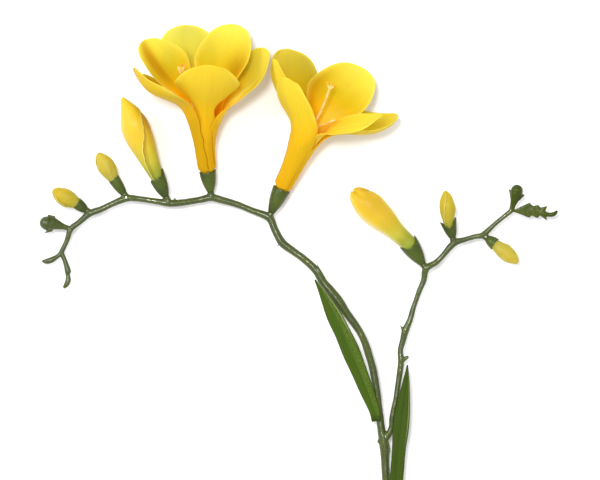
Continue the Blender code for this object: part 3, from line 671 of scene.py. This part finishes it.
def makeStamens(side, data, bloom):
    foot, thick = 8.6, data["thick"]
    style = [(x, foot + h, data["front"], thick * (1.0 - 0.08 * i))
             for i, (x, h) in enumerate(data["style"])]
    threads = [rod(inSpray(style, bloom), 1.0)]
    tips = []
    x, h, middle = style[-1][:3]
    for lean, front in data["arms"]:  # each arm is forked again
        arm = [(x, h - 0.8, middle, 0.36), (x + lean * 0.5, h + 0.4, middle + front * 0.5, 0.30),
               (x + lean * 0.85, h + 1.0, middle + front * 0.9, 0.24)]
        threads.append(rod(inSpray(arm, bloom), 0.5))
        for fork in (-0.35, 0.4):
            end = [(x + lean * 0.8, h + 0.9, middle + front * 0.85, 0.22),
                   (x + lean + fork * 0.5, h + 1.4, middle + front, 0.28),
                   (x + lean * 1.1 + fork, h + 1.9, middle + front * 1.05, 0.12)]
            tips.append(rod(inSpray(end, bloom), 0.4))
    for line, front in data["lines"]:
        top = line[-1][1]
        points = [(a, foot + b, front * b / top, 0.38 - 0.006 * b) for a, b in line]
        threads.append(rod(inSpray(points, bloom), 1.0))
        lean = unit(np.subtract(points[-1][:3], points[-2][:3]))
        for lobe in (-0.2, 0.2):  # an anther is two lobes side by side
            body = stepsAlong(np.array(points[-1][:3]) + (lobe, 0.0, 0.0), lean,
                              ((-0.6, 0.10), (-0.2, 0.26), (0.8, 0.32), (1.8, 0.26), (2.3, 0.08)))
            threads.append(rod(inSpray(body, bloom), 0.4))
    for name, rods, material in (("StyleAndStamens", threads, cream), ("StyleTips", tips, pollen)):
        finishPiece(joined(name, rods), side + name, (material,), ("stamens_" + side,))
    print("stamens", side, "made")


for side, data in stamenLines.items():
    makeStamens(side, data, blooms[side])


# Buds
stalkLength = 2.1  # between the stem and each cup, a part of the stem
fullProfile = [
    (0, 1.85), (0.06, 2), (0.14, 2.3), (0.26, 2.75), (0.42, 3.08), (0.6, 2.95), (0.78, 2.25), (0.9, 1.5),
    (0.97, 0.85), (1, 0.35)]
slimProfile = [
    (0, 1.7), (0.1, 1.95), (0.24, 2.3), (0.42, 2.7), (0.6, 2.6), (0.78, 2), (0.9, 1.3), (0.97, 0.75),
    (1, 0.3)]
# each bud's patches give it a deeper or paler tint together with painted shade and light
buds = {
    "bud_left": dict(
        node=(-47.5, 13.9, 6.5), rim=(-51.3, 22.3, 7.4), tip=(-63.9, 51.3, 10.4), rimRadius=3, inside=2,
        profile=[
            (0, 2), (0.05, 2.35), (0.17, 3), (0.36, 4), (0.52, 4.8), (0.66, 5), (0.78, 3.85), (0.88, 2.4),
            (0.955, 1.2), (1, 0.35)],
        phase=-58, step=0.7, lobes=[(90, 2.6, 40)],
        seams={
            0: [(0, 170)], 1: [(0, 228)],
            2: [
                (0, 319), (0.06, 319), (0.2, 326), (0.28, 341), (0.37, 351), (0.5, 380), (0.6, 392),
                (0.68, 399), (0.72, 404), (0.75, 415), (0.79, 450), (0.86, 480)]},
        tintAndShadeSpots=[(80, 0.68, 36, 0.16, 0.9), (75, 0.45, 36, 0.2, 0.3), (-75, 0.6, 30, 0.4, -0.25)],
        swell=[(-80, 0.46, 40, 0.2, 0.5)]),
    "bud_right": dict(
        node=(45.4, -10.3, 6.9), rim=(39.2, -1.3, 7.4), tip=(19.1, 17.6, 8.6), rimRadius=3.5, inside=2.5,
        profile=[
            (0, 3), (0.04, 2.85), (0.1, 2.95), (0.18, 3.1), (0.28, 3.45), (0.4, 4.25), (0.52, 4.9),
            (0.68, 5.3), (0.8, 4.8), (0.9, 3.65), (0.965, 2.3), (1, 0.8)],
        phase=100, step=0.5, lobes=[(80, 1.3, 30), (-100, 1, 30), (0, -1.5, 45)], frill=0.5,
        seams={0: [(0, 160)], 1: [(0, 222)], 2: [(0, 424), (0.5, 430), (0.9, 436)]},
        tintAndShadeSpots=[(15, 0.8, 50, 0.2, 0.45), (20, 0.45, 60, 0.3, 0.32), (-75, 0.5, 30, 0.5, -0.7)]),
    "bud_small_1": dict(
        node=(-62.4, 15.2, 6.6), rim=(-67.1, 22.1, 7.2), tip=(-72.7, 31.3, 8.4), rimRadius=2.15, inside=1.7,
        profile=fullProfile, twist=60, phase=0, step=0.3, lobes=[(90, 0.5, 60)],
        tintAndShadeSpots=[(0, 0.5, 200, 2, -0.05)]),
    "bud_small_2": dict(
        node=(-75.6, 9.6, 6.4), rim=(-80.3, 13.2, 6.9), tip=(-89.1, 17.8, 7.6), rimRadius=2.15, inside=1.7,
        profile=fullProfile, twist=60, phase=40, step=0.3, lobes=[(90, 0.5, 50)],
        tintAndShadeSpots=[(0, 0.5, 200, 2, 0.02), (0, 1, 200, 0.5, 0.25)]),
    "bud_small_3": dict(
        node=(55.5, -1, 7), rim=(53.6, 5.9, 7.6), tip=(52.3, 17.7, 8.6), rimRadius=2.6, inside=1.8,
        profile=slimProfile, twist=60, phase=80, step=0.3, spread=0.18,
        lobes=[(90, 1.7, 34), (-90, 1.5, 34), (0, -1.4, 40)]),
    "bud_small_4": dict(
        node=(65.9, 1.8, 7), rim=(70.1, -1.4, 7.4), tip=(78.5, -8.2, 8), rimRadius=2.3, inside=1.8,
        profile=slimProfile, twist=60, phase=20, step=0.3, lobes=[(90, 0.4, 30), (-90, 0.4, 30)],
        tintAndShadeSpots=[(0, 0.5, 200, 2, -0.06)]),
}


budFinish = {
    "big": [
        (0.0, (0.25, 0.3, 0.03)), (0.08, (0.28, 0.3, 0.022)), (0.2, (0.46, 0.43, 0.035)),
        (0.34, (0.56, 0.45, 0.03)), (0.5, (0.68, 0.47, 0.025)), (0.8, (0.72, 0.49, 0.025))],
    "small": [
        (0.0, (0.28, 0.28, 0.03)), (0.12, (0.4, 0.34, 0.025)), (0.45, (0.44, 0.35, 0.015)),
        (0.9, (0.49, 0.385, 0.018))],
    # golden is a deeper tint and painted shade, fresh a paler tint and painted light, shade is painted shade
    # where petals overlap
    "goldenTintAndShade": (0.44, 0.23, 0.004), "paleTintAndLight": (0.82, 0.66, 0.3), "paintedShade": (0.62, 0.42, 0.1),
    "edge": (0.84, 0.72, 0.22), "vein": (0.93, 0.78, 0.5), "blotch": (0.93, 0.84, 0.6),
}


def budMaterial(name, stops):
    finish = budFinish
    material, tree, shader, coords = startMaterial(
        name, stops[-1][1], 0.42, Specular_IOR_Level=0.25,
        Subsurface_Weight=0.25, Subsurface_Scale=0.002, Subsurface_Radius=(1.0, 0.7, 0.2))
    across, along = acrossAndAlong(tree, coords)
    patch = placed(tree, mottle, coords["Object"], Size=160.0)
    vein = placed(tree, veins, coords["UV"], Count=16.0, Stretch=2.5)
    wander = mathOf(tree, "MULTIPLY_ADD", vein["Relief"], 0.10, along)
    colour = rampOf(tree, wander, [(at + 0.05, tint) for at, tint in stops], "LINEAR")
    colour = layered(
        tree, colour, ("MULTIPLY", 0.30, finish["vein"], vein["Line"]),
        ("MULTIPLY", 0.25, finish["blotch"], patch["Patch"]))
    # painted shade where the next petal lies over, and the petal's own pale edge
    paintedOverlapShade = maskOf(tree, across, (0.0, 1.0), (0.22, 1.0), (0.30, 0.0))
    edge = maskOf(tree, across, (0.955, 0.0), (0.985, 1.0), (1.0, 1.0))
    colour = layered(
        tree, tintedAndShaded(tree, colour, finish), ("MULTIPLY", 0.5, finish["paintedShade"], paintedOverlapShade),
        ("MIX", 0.55, finish["edge"], edge))
    feed(tree, shader["Base Color"], colour)
    roughnessOf(tree, shader, patch["Grain"], 0.34, 0.52)
    reliefOf(tree, shader, vein["Relief"], 0.4, 0.0003)
    return material


bigBudYellow = budMaterial("bigBudYellow", budFinish["big"])
smallBudYellow = budMaterial("smallBudYellow", budFinish["small"])


def budPlace(bud, petal, foot, length):
    upper = directions(np.subtract(bud["tip"], bud["rim"]))
    seat = directions(np.subtract(bud["rim"], bud["node"]))
    profile = smoothRoute([(t * 30.0, r, 0.0) for t, r in bud["profile"]], 0.5)
    seed = petal * 2.1 + bud["phase"]
    twist = bud.get("twist", 0.0)
    even = {k: [(0.0, 120.0 * (k + 0.94) + bud["phase"]), (1.0, 120.0 * (k + 0.94) + bud["phase"] + twist)]
            for k in range(3)}
    seams = bud.get("seams", even)

    def seamAt(k, t):
        return np.interp(t, *zip(*seams[k % 3])) - (360.0 if k < 0 else 0.0)

    def place(v, u):
        t = -foot / length + (1.0 + foot / length) * u
        w = (v + 1.0) / 2.0
        out = -0.30 + 1.28 * w  # each petal starts under the one before it and ends over the next
        r = np.where(t < 0.0,
                     np.interp(t, [-foot / length, 0.0], [bud["inside"] - 0.35, bud["profile"][0][1]]),
                     np.interp(t * 30.0, profile[:, 0], profile[:, 1]))
        edge = 0.14 + (bud["step"] - 0.14) * ease(t / 0.45) * ease((1.0 - t) / 0.15)
        start, end = seamAt(petal - 1, t) - 36.0, seamAt(petal, t)
        ragged = (2.5 * np.sin(t * 61.0 + seed) + 1.5 * np.sin(t * 97.0)) * ease(t * 4.0) * w**4
        angle = start + (end - start) * w + ragged
        turn = np.radians(angle)
        ripple = 0.10 * np.sin(t * 17.0 + 5.0 * out + seed) * ease(t / 0.3) * (0.3 + out.clip(0.0))
        frill = bud.get("frill", 0.0) * np.sin(turn * 7.0 + seed) * ease((t - 0.78) / 0.15)
        swell = spotted(bud.get("swell", ()), angle, t, 360.0)
        radius = r + edge * (out - 0.5) + ripple + frill * 0.7 + swell
        mix = ease((t + 0.02) / 0.06)[:, None]
        right = seat[0] * (1.0 - mix) + upper[0] * mix
        front = seat[2] * (1.0 - mix) + upper[2] * mix
        middle = np.array(bud["rim"]) + np.where(t < 0.0, t, 0.0)[:, None] * seat[1] * length
        middle = middle + (np.maximum(t, 0.0) * length + frill)[:, None] * upper[1]
        points = middle + radius[:, None] * (np.sin(turn)[:, None] * right + np.cos(turn)[:, None] * front)
        # painted shade and light, with tint, from the bud's patches
        tintAndPaintedShade = spotted(bud.get("tintAndShadeSpots", ()), angle, t, 360.0)
        return points, np.column_stack([w, share(t)]), tintAndPaintedShade

    return place


def makeBud(name, bud):
    length = float(np.linalg.norm(np.subtract(bud["tip"], bud["rim"])))
    cupLength = np.linalg.norm(np.subtract(bud["rim"], bud["node"])) - stalkLength
    foot = min(4.4, cupLength - 1.2) - 0.3  # how far the petals reach down into the cup
    big = length > 20.0
    grid = (18, 34) if big else (12, 20)
    petals = [sheet("budPetal", *grid, budPlace(bud, k, foot, length), petalWall) for k in range(3)]
    for petal in petals:
        paintPlain(petal)
    label = camelName(name)
    material = bigBudYellow if big else smallBudYellow
    finishPiece(joined(label, petals), label, (material,), (name,))


for name, bud in buds.items():
    makeBud(name, bud)
print("buds made")


# Cups under the blooms and buds
cupFinish = {
    "wall": 0.5, "colour": (0.06, 0.087, 0.006), "deep": (0.028, 0.046, 0.002), "pale": (0.1, 0.11, 0.03),
    "flankShade": (0.03, 0.028, 0.012), "roughness": 0.27, "patchy": 0.3, "gloss": 0.35, "size": 110.0,
    "relief": 0.1, "fleck": 0.2,
}


def greenMaterial(name, finish):
    roughness = finish["roughness"]
    material, tree, shader, coords = startMaterial(name, finish["colour"], roughness,
                                                   Specular_IOR_Level=finish["gloss"])
    patch = placed(tree, mottle, coords["Object"], Size=finish["size"])
    # painted shade: flanks and undersides take the darker flank colour
    steepShade = maskOf(tree, attributeOf(tree, "flankShade"), (0.30, 0.0), (0.85, 1.0))
    flecks = maskOf(tree, patch["Grain"], (0.60, 0.0), (0.74, 1.0))
    colour = layered(
        tree, finish["colour"], ("MIX", 0.8, finish["deep"], patch["Patch"]),
        ("MIX", 0.75, finish["flankShade"], steepShade), ("MIX", finish["fleck"], finish["pale"], flecks))
    feed(tree, shader["Base Color"], colour)
    rough = maskOf(tree, patch["Grain"], (0.3, roughness - 0.1), (0.7, roughness + 0.12))
    rough = blendColour(tree, "MIX", finish["patchy"], rough, (0.55, 0.55, 0.55), patch["Patch"])
    feed(tree, shader["Roughness"], rough)
    reliefOf(tree, shader, patch["Grain"], finish["relief"], 0.0004)
    return material


cupGreen = greenMaterial("cupGreen", cupFinish)


def lobesAt(turn, lobes):  # each lobe: its angle, its height and its width in degrees
    return sum(height * math.exp(-((turn - at + 180.0) % 360.0 - 180.0) ** 2 / wide**2)
               for at, height, wide in lobes)


def shapeLip(piece, length, start, lobes, jag=0.0, spread=0.0):  # start: where it begins, of the length
    for vertex in piece.data.vertices:
        height = vertex.co.z / mm / length
        if height > start:
            turn = math.degrees(math.atan2(vertex.co.y, vertex.co.x))
            ragged = 0.22 * math.sin(math.radians(turn * 5 + 40)) + 0.12 * math.sin(math.radians(turn * 11))
            rise = lobesAt(turn, lobes) + jag * ragged
            rise *= ease((height - start) / (1.0 - start))
            wider = 1.0 + spread * max(rise, 0.0)
            vertex.co.z += rise * mm
            vertex.co.x *= wider
            vertex.co.y *= wider


def makeCup(name, node, rim, rimRadius, lobes, jag=1.0, spread=0.1):
    length = float(np.linalg.norm(np.subtract(rim, node))) - stalkLength
    flare = rimRadius - 1.15
    inside = rimRadius - cupFinish["wall"]
    rings = [(-0.25, 1.1), (0.0, 1.3), (0.15 * length, 1.35 + 0.20 * flare),
             (0.3 * length, 1.32 + 0.44 * flare), (0.5 * length, 1.26 + 0.70 * flare),
             (0.7 * length, 1.18 + 0.88 * flare), (0.86 * length, 1.15 + 0.97 * flare),
             (length - 0.1, rimRadius), (length, (rimRadius + inside) / 2.0), (length - 0.1, inside),
             (length * 0.7, inside - 0.3), (length * 0.45, rimRadius * 0.55)]
    piece = turned(rings, 36)
    shapeLip(piece, length, 0.6, lobes, jag, spread * 2.0 / rimRadius)
    change(piece, "SUBSURF", levels=1, render_levels=1)
    along = unit(np.subtract(rim, node))
    standOn(piece, np.array(node) + along * stalkLength, along)
    finishPiece(piece, camelName(name), (cupGreen,), (name,))
    markFlankShade(piece)


for side, bloom in blooms.items():
    makeCup("cup_bloom_" + side, bloom["node"], bloom["base"], bloom["rim"],
            [(100.0, 0.6, 30.0), (-80.0, 0.5, 30.0)])
for name, bud in buds.items():
    makeCup("cup_" + name, bud["node"], bud["rim"], bud["rimRadius"], bud["lobes"],
            1.0 if bud["rimRadius"] > 2.9 else 0.4, bud.get("spread", 0.05))
print("cups made")


# Stem
stemRoutes = {
    "main": [
        (34.2, -187.2, 1.78, 1.6), (34.9, -165.6, 2, 1.55), (34.7, -144, 2.6, 1.55),
        (33.7, -124.2, 3.6, 1.5), (32.9, -109.8, 4.4, 1.85), (32.2, -99, 4.8, 1.5), (31.1, -86.4, 5, 1.5),
        (30.7, -79.2, 5.1, 1.5), (30.6, -75.2, 5.2, 1.85), (30, -71.8, 5.3, 1.7), (29.3, -68.4, 5.4, 1.4),
        (28.7, -63.4, 5.5, 1.35), (28.1, -58.7, 5.6, 1.35), (27.4, -52.9, 5.8, 1.3),
        (26.3, -46.8, 5.9, 1.3), (25.2, -42.8, 6, 1.3), (24.2, -39.4, 6.1, 1.35), (23, -36, 6.2, 1.25),
        (21, -32.2, 6.2, 1.25), (18.7, -28.9, 6.3, 1.38), (16.4, -25.8, 6.3, 1.5), (13.9, -22.1, 6.3, 1.78),
        (11, -18.3, 6.3, 1.65), (7.9, -14.6, 6.3, 1.45), (5.8, -11, 6.3, 1.4), (1.6, -7, 6.2, 1.3),
        (-2.5, -4, 6, 1.3), (-6.5, -0.9, 5.8, 1.45), (-9.2, 4, 5.5, 1.3), (-11.2, 8.1, 5.3, 1.4),
        (-17, 10.5, 5.3, 1.12), (-22.6, 12.8, 5.3, 1.12), (-27.4, 14.2, 5.3, 1.2), (-31.9, 15.3, 5.4, 1.3),
        (-36.6, 14.4, 5.7, 1.15), (-41.6, 13.6, 6.1, 1.15), (-46.7, 13.2, 6.4, 1.25),
        (-51.7, 13.9, 6.6, 1.05), (-57.8, 14.8, 6.6, 1), (-62.4, 15, 6.6, 1.2), (-67.9, 12.9, 6.5, 1.05),
        (-71.9, 11, 6.4, 1.1), (-75.8, 9.5, 6.4, 1.15), (-79.7, 6.3, 6.3, 1), (-82.5, 4, 6.2, 1),
        (-84.1, -0.5, 6, 0.85), (-86, -4.4, 5.8, 0.85)],
    "branch": [
        (30.2, -72.4, 5.3, 1.3), (31.7, -70.4, 5.8, 1.2), (33.1, -67.7, 6.1, 1.1), (33.2, -64.4, 6.3, 1),
        (33.8, -61.2, 6.4, 1), (34.6, -57.6, 6.4, 1), (35.1, -54, 6.4, 1), (35.6, -50.4, 6.4, 1),
        (36.1, -46.8, 6.4, 1.1), (36.4, -43.6, 6.4, 1.1), (36.2, -39.6, 6.4, 0.95), (37.1, -36.2, 6.4, 1.1),
        (38, -32.6, 6.5, 1.3), (39.6, -28.8, 6.6, 1.05), (40.6, -25.2, 6.6, 0.95), (41.8, -21.6, 6.7, 0.85),
        (43.1, -18, 6.8, 0.95), (44.6, -14.4, 6.8, 1), (45.4, -10.4, 6.9, 1.2), (48.9, -8.1, 7, 1),
        (51.4, -5.7, 7, 0.95), (55.3, -1.3, 7, 1.15), (59.8, 0.3, 7, 0.85), (63.3, 1.3, 7, 0.85),
        (65.9, 1.9, 7, 1), (70.7, 6.2, 7.1, 0.75), (76, 10.5, 7.2, 0.85)],
    "leftSprout": [
        (-86, -4.4, 5.8, 0.75), (-87.3, -5.8, 5.8, 0.7), (-89.4, -7.1, 5.8, 1.02), (-91.3, -7.7, 5.8, 0.95),
        (-93, -7.6, 5.8, 0.36)],
    "downSprout": [
        (-86, -4.4, 5.8, 0.8), (-84.9, -7, 5.8, 0.8), (-84.1, -9.4, 5.8, 0.92), (-83.6, -11.3, 5.8, 1.14),
        (-83.7, -12.5, 5.8, 0.74), (-83.5, -14.4, 5.8, 0.98), (-84.3, -16.3, 5.8, 0.86),
        (-85.2, -17.3, 5.8, 0.4)],
    "hook": [(87, 9.8, 7.2, 0.7), (89.8, 9.1, 7.2, 0.75), (91.6, 9.4, 7.2, 0.75), (92.7, 10.6, 7.2, 0.35)],
}
thorns = [
    ((8.6, -14, 6.5), (5.9, -8.2, 8.2), 0.8), ((-4.6, -1.6, 6.4), (-8.9, -1.9, 7), 0.7),
    ((-45.4, 13.8, 6.5), (-44.9, 15.4, 7.2), 0.8), ((37.6, -33.4, 6.5), (35.9, -30.3, 6.9), 0.8),
    ((36, -44, 6.4), (39.1, -41.9, 6.8), 1.15), ((29.4, -73, 5.4), (28, -72.2, 5.7), 1.25),
    ((-88.4, 7.9, 6.4), (-91.4, 9.3, 6.6), 0.85), ((-89.4, 3.8, 6.3), (-92.4, 2.3, 6.5), 0.85),
    ((76.4, 15.3, 7.5), (75.1, 18.8, 7.7), 0.85), ((78.7, 14.9, 7.6), (81.1, 16.3, 7.7), 0.85)]
greenBuds = [
    ((-82.5, 4, 6.2), (-89.6, 6.1, 6.4), (-91.4, 6.1, 6.4), 2.45, ((90, 0.5, 30), (-90, 0.5, 30))),
    ((76, 10.5, 7.2), (77.9, 16.6, 7.6), (78.1, 17.8, 7.6), 2.2, ((90, 0.6, 30), (-90, 0.6, 30)))]
bractOutline = [
    (76.3, 10.3), (79.1, 9.4), (82.6, 8), (83.5, 8.8), (85.5, 7.8), (86.4, 8.8), (89, 7), (88.4, 9.2),
    (88.4, 10.6), (89.2, 12.3), (86.6, 11.7), (85.8, 12.7), (83.9, 12.2), (82.7, 13.5), (79.6, 12.1)]
stemFinish = {"voxel": 0.26, "bumps": 0.14, "colour": (0.056, 0.075, 0.006), "deep": (0.034, 0.052, 0.003),
              "pale": (0.10, 0.12, 0.03), "flankShade": (0.024, 0.024, 0.010), "roughness": 0.17, "patchy": 0.45,
              "gloss": 0.50, "size": 120.0, "relief": 0.16, "fleck": 0.3,
              "bractLow": 6.75, "bractThick": 0.9,
              "bumpSize": 0.0022, "bumpyFrom": -0.084, "bumpyTo": 0.0755, "bractFrom": 0.0765}  # in metres
bractFinish = {**stemFinish, "gloss": 0.16, "patchy": 0.2, "fleck": 0.15}
stemGreen = greenMaterial("stemGreen", stemFinish)
bractGreen = greenMaterial("bractGreen", bractFinish)


def makeGreenBud(foot, mouth, middle, ball, lobes):
    along = np.subtract(mouth, foot)
    reach = float(np.linalg.norm(along))
    cone = turned([(-0.2, 0.8), (0.4 * reach, 1.1), (0.8 * reach, ball * 0.85), (reach, ball * 1.12),
                   (reach + 0.1, ball * 0.8), (reach * 0.8, ball * 0.5)], 28)
    shapeLip(cone, reach, 0.75, lobes)
    standOn(cone, foot, along)
    angles = np.radians(np.linspace(-80.0, 80.0, 11))
    globe = turned([(ball * math.sin(a), ball * math.cos(a)) for a in angles], 20)
    standOn(globe, middle, along)
    return [cone, globe]


def makeBract():
    low, thick = stemFinish["bractLow"], stemFinish["bractThick"]
    deselectAll()
    bpy.ops.mesh.primitive_circle_add(vertices=len(bractOutline), radius=mm, fill_type="NGON")
    bract = bpy.context.object
    for vertex, (x, y) in zip(bract.data.vertices, bractOutline):
        vertex.co = ((x + shift[0]) * mm, (y + shift[1]) * mm, low * mm)
    extrudeUp([(0.0, 1.0), (thick, 1.0)])
    return bract


def makeStem():
    pieces = [rod([(x, y, z, r + 0.09) for x, y, z, r in route], 1.0, 4) for route in stemRoutes.values()]
    for data in list(blooms.values()) + list(buds.values()):
        top = data["base"] if "petals" in data else data["rim"]
        along = unit(np.subtract(top, data["node"]))
        pieces.append(rod(stepsAlong(data["node"], along, ((-0.3, 1.4), (0.9, 1.25), (2.0, 1.3)))))
    for foot, tip, wide in thorns:
        point = 0.15 if wide < 1.0 else 0.5
        steps = ((0.0, wide), (0.45, wide * (0.5 + 0.5 * point)), (1.0, wide * point))
        pieces.append(rod(stepsAlong(foot, np.subtract(tip, foot), steps), 0.5))
    for bud in greenBuds:
        pieces += makeGreenBud(*bud)
    pieces.append(makeBract())
    stem = joined("stem", pieces)
    # the joints melt into one skin
    change(stem, "REMESH", mode="VOXEL", voxel_size=stemFinish["voxel"] * mm)
    change(stem, "SMOOTH", factor=0.5, iterations=3)
    bark = stem.vertex_groups.new(name="bark")  # the green buds and the bract are smoother than the stem
    smoothEnds = [v.index for v in stem.data.vertices
                  if not stemFinish["bumpyFrom"] < v.co.x < stemFinish["bumpyTo"]]
    bark.add(range(len(stem.data.vertices)), 1.0, "REPLACE")
    bark.add(smoothEnds, 0.25, "REPLACE")
    bumps = bpy.data.textures.new("stemBumps", "CLOUDS")
    bumps.noise_scale = stemFinish["bumpSize"]
    change(stem, "DISPLACE", texture=bumps, strength=stemFinish["bumps"] * mm, vertex_group="bark")
    paintFaces(stem, [int(face.center.x > stemFinish["bractFrom"]) for face in stem.data.polygons])
    finishPiece(stem, "stemWithSprouts", (stemGreen, bractGreen), ("stem",), 80)
    markFlankShade(stem)
    print("stem made", len(stem.data.polygons))


makeStem()


# Leaves
leafGrid = (16, 80)  # faces across and along
leaves = {
    "leaf_left": dict(
        wall=0.45, seed=0,
        route=[
            (27.5, -65.3, 7.9, 1.7, 4), (26.7, -61.2, 8.1, 2, 5), (24.8, -56.2, 8.4, 2.4, 5),
            (22.1, -49.3, 8.8, 2.95, 7), (18.7, -41, 9.2, 3.2, 9), (15.7, -34.2, 9.4, 3.1, 9),
            (12.3, -27.3, 9.5, 2.75, 8), (9.2, -21.3, 9.5, 1.75, 6), (5.4, -14.2, 9.3, 0.12, 5)]),
    "leaf_right": dict(
        wall=0.45, seed=2,
        route=[
            (32.9, -110.5, 7.05, 3.4, 2.7), (32.8, -104.8, 7.3, 3.1, 2.8), (33.8, -97.2, 7.8, 2.5, 4),
            (34.7, -86.4, 8.4, 2.4, 7), (35.5, -76.3, 9, 2.6, 9), (36.4, -67, 9.3, 2.85, 10),
            (37.3, -59, 9.4, 2.4, 9), (38.1, -51.8, 9.3, 1.4, 7), (38.7, -44.9, 9, 0.12, 6)]),
}


leafFinish = {
    "colour": (0.05, 0.102, 0.003), "deep": (0.028, 0.062, 0.002), "blotch": (0.062, 0.085, 0.008),
    "rung": (0.12, 0.18, 0.03), "streak": (0.3, 0.36, 0.13), "margin": (0.03, 0.03, 0.014),
    "foot": (0.016, 0.024, 0.004), "gloss": 0.09,
}


def leafMaterial(name, ribbing, paintedShade):
    finish = leafFinish
    material, tree, shader, coords = startMaterial(name, (0.05, 0.09, 0.006), 0.5,
                                                   Specular_IOR_Level=finish["gloss"])
    across, along = acrossAndAlong(tree, coords)
    patch = placed(tree, mottle, coords["Object"], Size=120.0)
    vein = placed(tree, veins, coords["UV"], Count=18.0, Stretch=1.5)
    rungs = placed(tree, veins, coords["UV"], Count=7.0, Stretch=130.0)  # striations across the blade
    lit = maskOf(tree, across, (0.45, 0.0), (0.72, 1.0), (0.88, 0.7), (0.97, 0.0))
    line = maskOf(tree, across, (0.84, 0.0), (0.89, 1.0), (0.94, 0.0))
    upper = maskOf(tree, along, (0.50, 0.0), (0.72, 1.0), (0.96, 1.0), (1.0, 0.4))
    edge = marginOf(tree, across, (0.0, 1.0), (0.035, 0.8), (0.07, 0.0))
    foot = maskOf(tree, along, (0.0, 1.0), (0.02, 0.6), (0.06, 0.0))
    colour = layered(
        tree, finish["colour"], ("MIX", 0.8, finish["deep"], vein["Line"]),
        ("MIX", 0.3, finish["blotch"], patch["Patch"]),
        ("MIX", ribbing, finish["rung"], both(tree, lit, rungs["Line"])),
        ("MIX", 0.8, finish["streak"], both(tree, line, upper)),
        ("MIX", 0.75, finish["margin"], edge), ("MIX", 0.8, finish["foot"], foot),
        # painted shade: the whole leaf darkened by the given factor
        ("MULTIPLY", 1.0, (paintedShade, paintedShade, paintedShade), None))
    feed(tree, shader["Base Color"], colour)
    roughnessOf(tree, shader, patch["Grain"], 0.40, 0.60)
    reliefOf(tree, shader, vein["Relief"], 0.5, 0.0004)
    return material


# the right leaf's copy has less ribbing and is darkened to 0.78 as painted shade
leafGreens = {"leaf_left": leafMaterial("leafGreen", 0.7, 1.0),
              "leaf_right": leafMaterial("leafGreenPlainShaded", 0.2, 0.78)}


def leafPlace(leaf):
    points = smoothRoute(leaf["route"], 0.8)
    tangents = np.gradient(points[:, :3], axis=0)
    frames = [directions(t) for t in tangents]
    rights = np.array([f[0] for f in frames])
    fronts = np.array([f[2] for f in frames])
    spots = np.linspace(0.0, 1.0, len(points))

    def place(v, u):
        x, y, z, half, arch = (np.interp(u, spots, points[:, k]) for k in range(5))
        right = np.column_stack([np.interp(u, spots, rights[:, k]) for k in range(3)])
        front = np.column_stack([np.interp(u, spots, fronts[:, k]) for k in range(3)])
        arch = np.maximum(arch, half / 1.5)
        half = half * (1.0 + 0.03 * np.sin(u * 23.0 + 3.0 * np.sign(v) + leaf["seed"]))
        a = v * half / arch
        fold = 0.22 * np.exp(-(v / 0.12) ** 2) * ease(u * 6.0)  # the channel over the midrib
        wave = 0.18 * np.sin(u * 17.0 + 2.0 * v + leaf["seed"]) * np.abs(v) ** 2 * ease(u * 4.0)
        lift = wave - fold - arch * (1.0 - np.cos(a))
        place = np.column_stack([x, y, z]) + (arch * np.sin(a))[:, None] * right + lift[:, None] * front
        return place, np.column_stack([(v + 1.0) / 2.0, u])

    return place


for name, leaf in leaves.items():
    piece = sheet(name, *leafGrid, leafPlace(leaf), leaf["wall"])
    paintPlain(piece)
    label = name.split("_")[1] + "Leaf"
    finishPiece(piece, label, (leafGreens[name],), (name,))
print("leaves made")


# Table, light and camera
studio = {
    "tableSize": 4.0, "tableColours": ((0.975, 0.975, 0.975), (0.965, 0.965, 0.965)), "roomLight": 0.88,
    "lamps": {"keyLight": ((-1.2, 0.5, 1.3), 0.7, 10.0), "frontLight": ((-0.22, 0.36, 2.1), 0.34, 24.0)},
    "lookAt": (0.0, 0.05, 0.0), "camera": (0.0004, 0.0547, 2.408), "lens": 400.0,  # 0.36 mm to a pixel
}


def makeTable():
    deselectAll()
    bpy.ops.mesh.primitive_plane_add(size=studio["tableSize"], location=(0.0, 0.0, -0.00005))
    table = bpy.context.object
    table.name = "paleTable"
    material, tree, shader, coords = startMaterial("paleTable", (0.97, 0.97, 0.97), 0.7,
                                                   Specular_IOR_Level=0.1)
    patch = placed(tree, mottle, coords["Object"], Size=3.0)
    feed(tree, shader["Base Color"], blendColour(tree, "MIX", 1.0, *studio["tableColours"], patch["Patch"]))
    table.data.materials.append(material)


def makeLamp(name, place, size, power):
    lamp = bpy.data.lights.new(name, "AREA")
    lamp.shape = "DISK"
    lamp.size = size
    lamp.energy = power
    holder = bpy.data.objects.new(name, lamp)
    bpy.context.scene.collection.objects.link(holder)
    holder.location = place
    holder.rotation_euler = (Vector(studio["lookAt"]) - Vector(place)).to_track_quat("-Z", "Y").to_euler()


def makeCamera():  # straight above, as the photograph was taken
    lens = bpy.data.cameras.new("photoView")
    lens.sensor_width = 36.0
    lens.lens = studio["lens"]
    lens.clip_start = 0.1
    lens.clip_end = 20.0
    view = bpy.data.objects.new("photoView", lens)
    bpy.context.scene.collection.objects.link(view)
    view.location = studio["camera"]
    bpy.context.scene.camera = view


def makeStudio():
    makeTable()
    world = bpy.data.worlds.new("softRoom")
    bpy.context.scene.world = world
    world.use_nodes = True
    background = world.node_tree.nodes["Background"].inputs
    background["Color"].default_value = (1.0, 1.0, 1.0, 1.0)
    background["Strength"].default_value = studio["roomLight"]
    for name, (place, size, power) in studio["lamps"].items():
        makeLamp(name, place, size, power)
    makeCamera()
    bpy.context.scene.view_settings.view_transform = "Standard"
    print("table, lamps and camera made")


makeStudio()
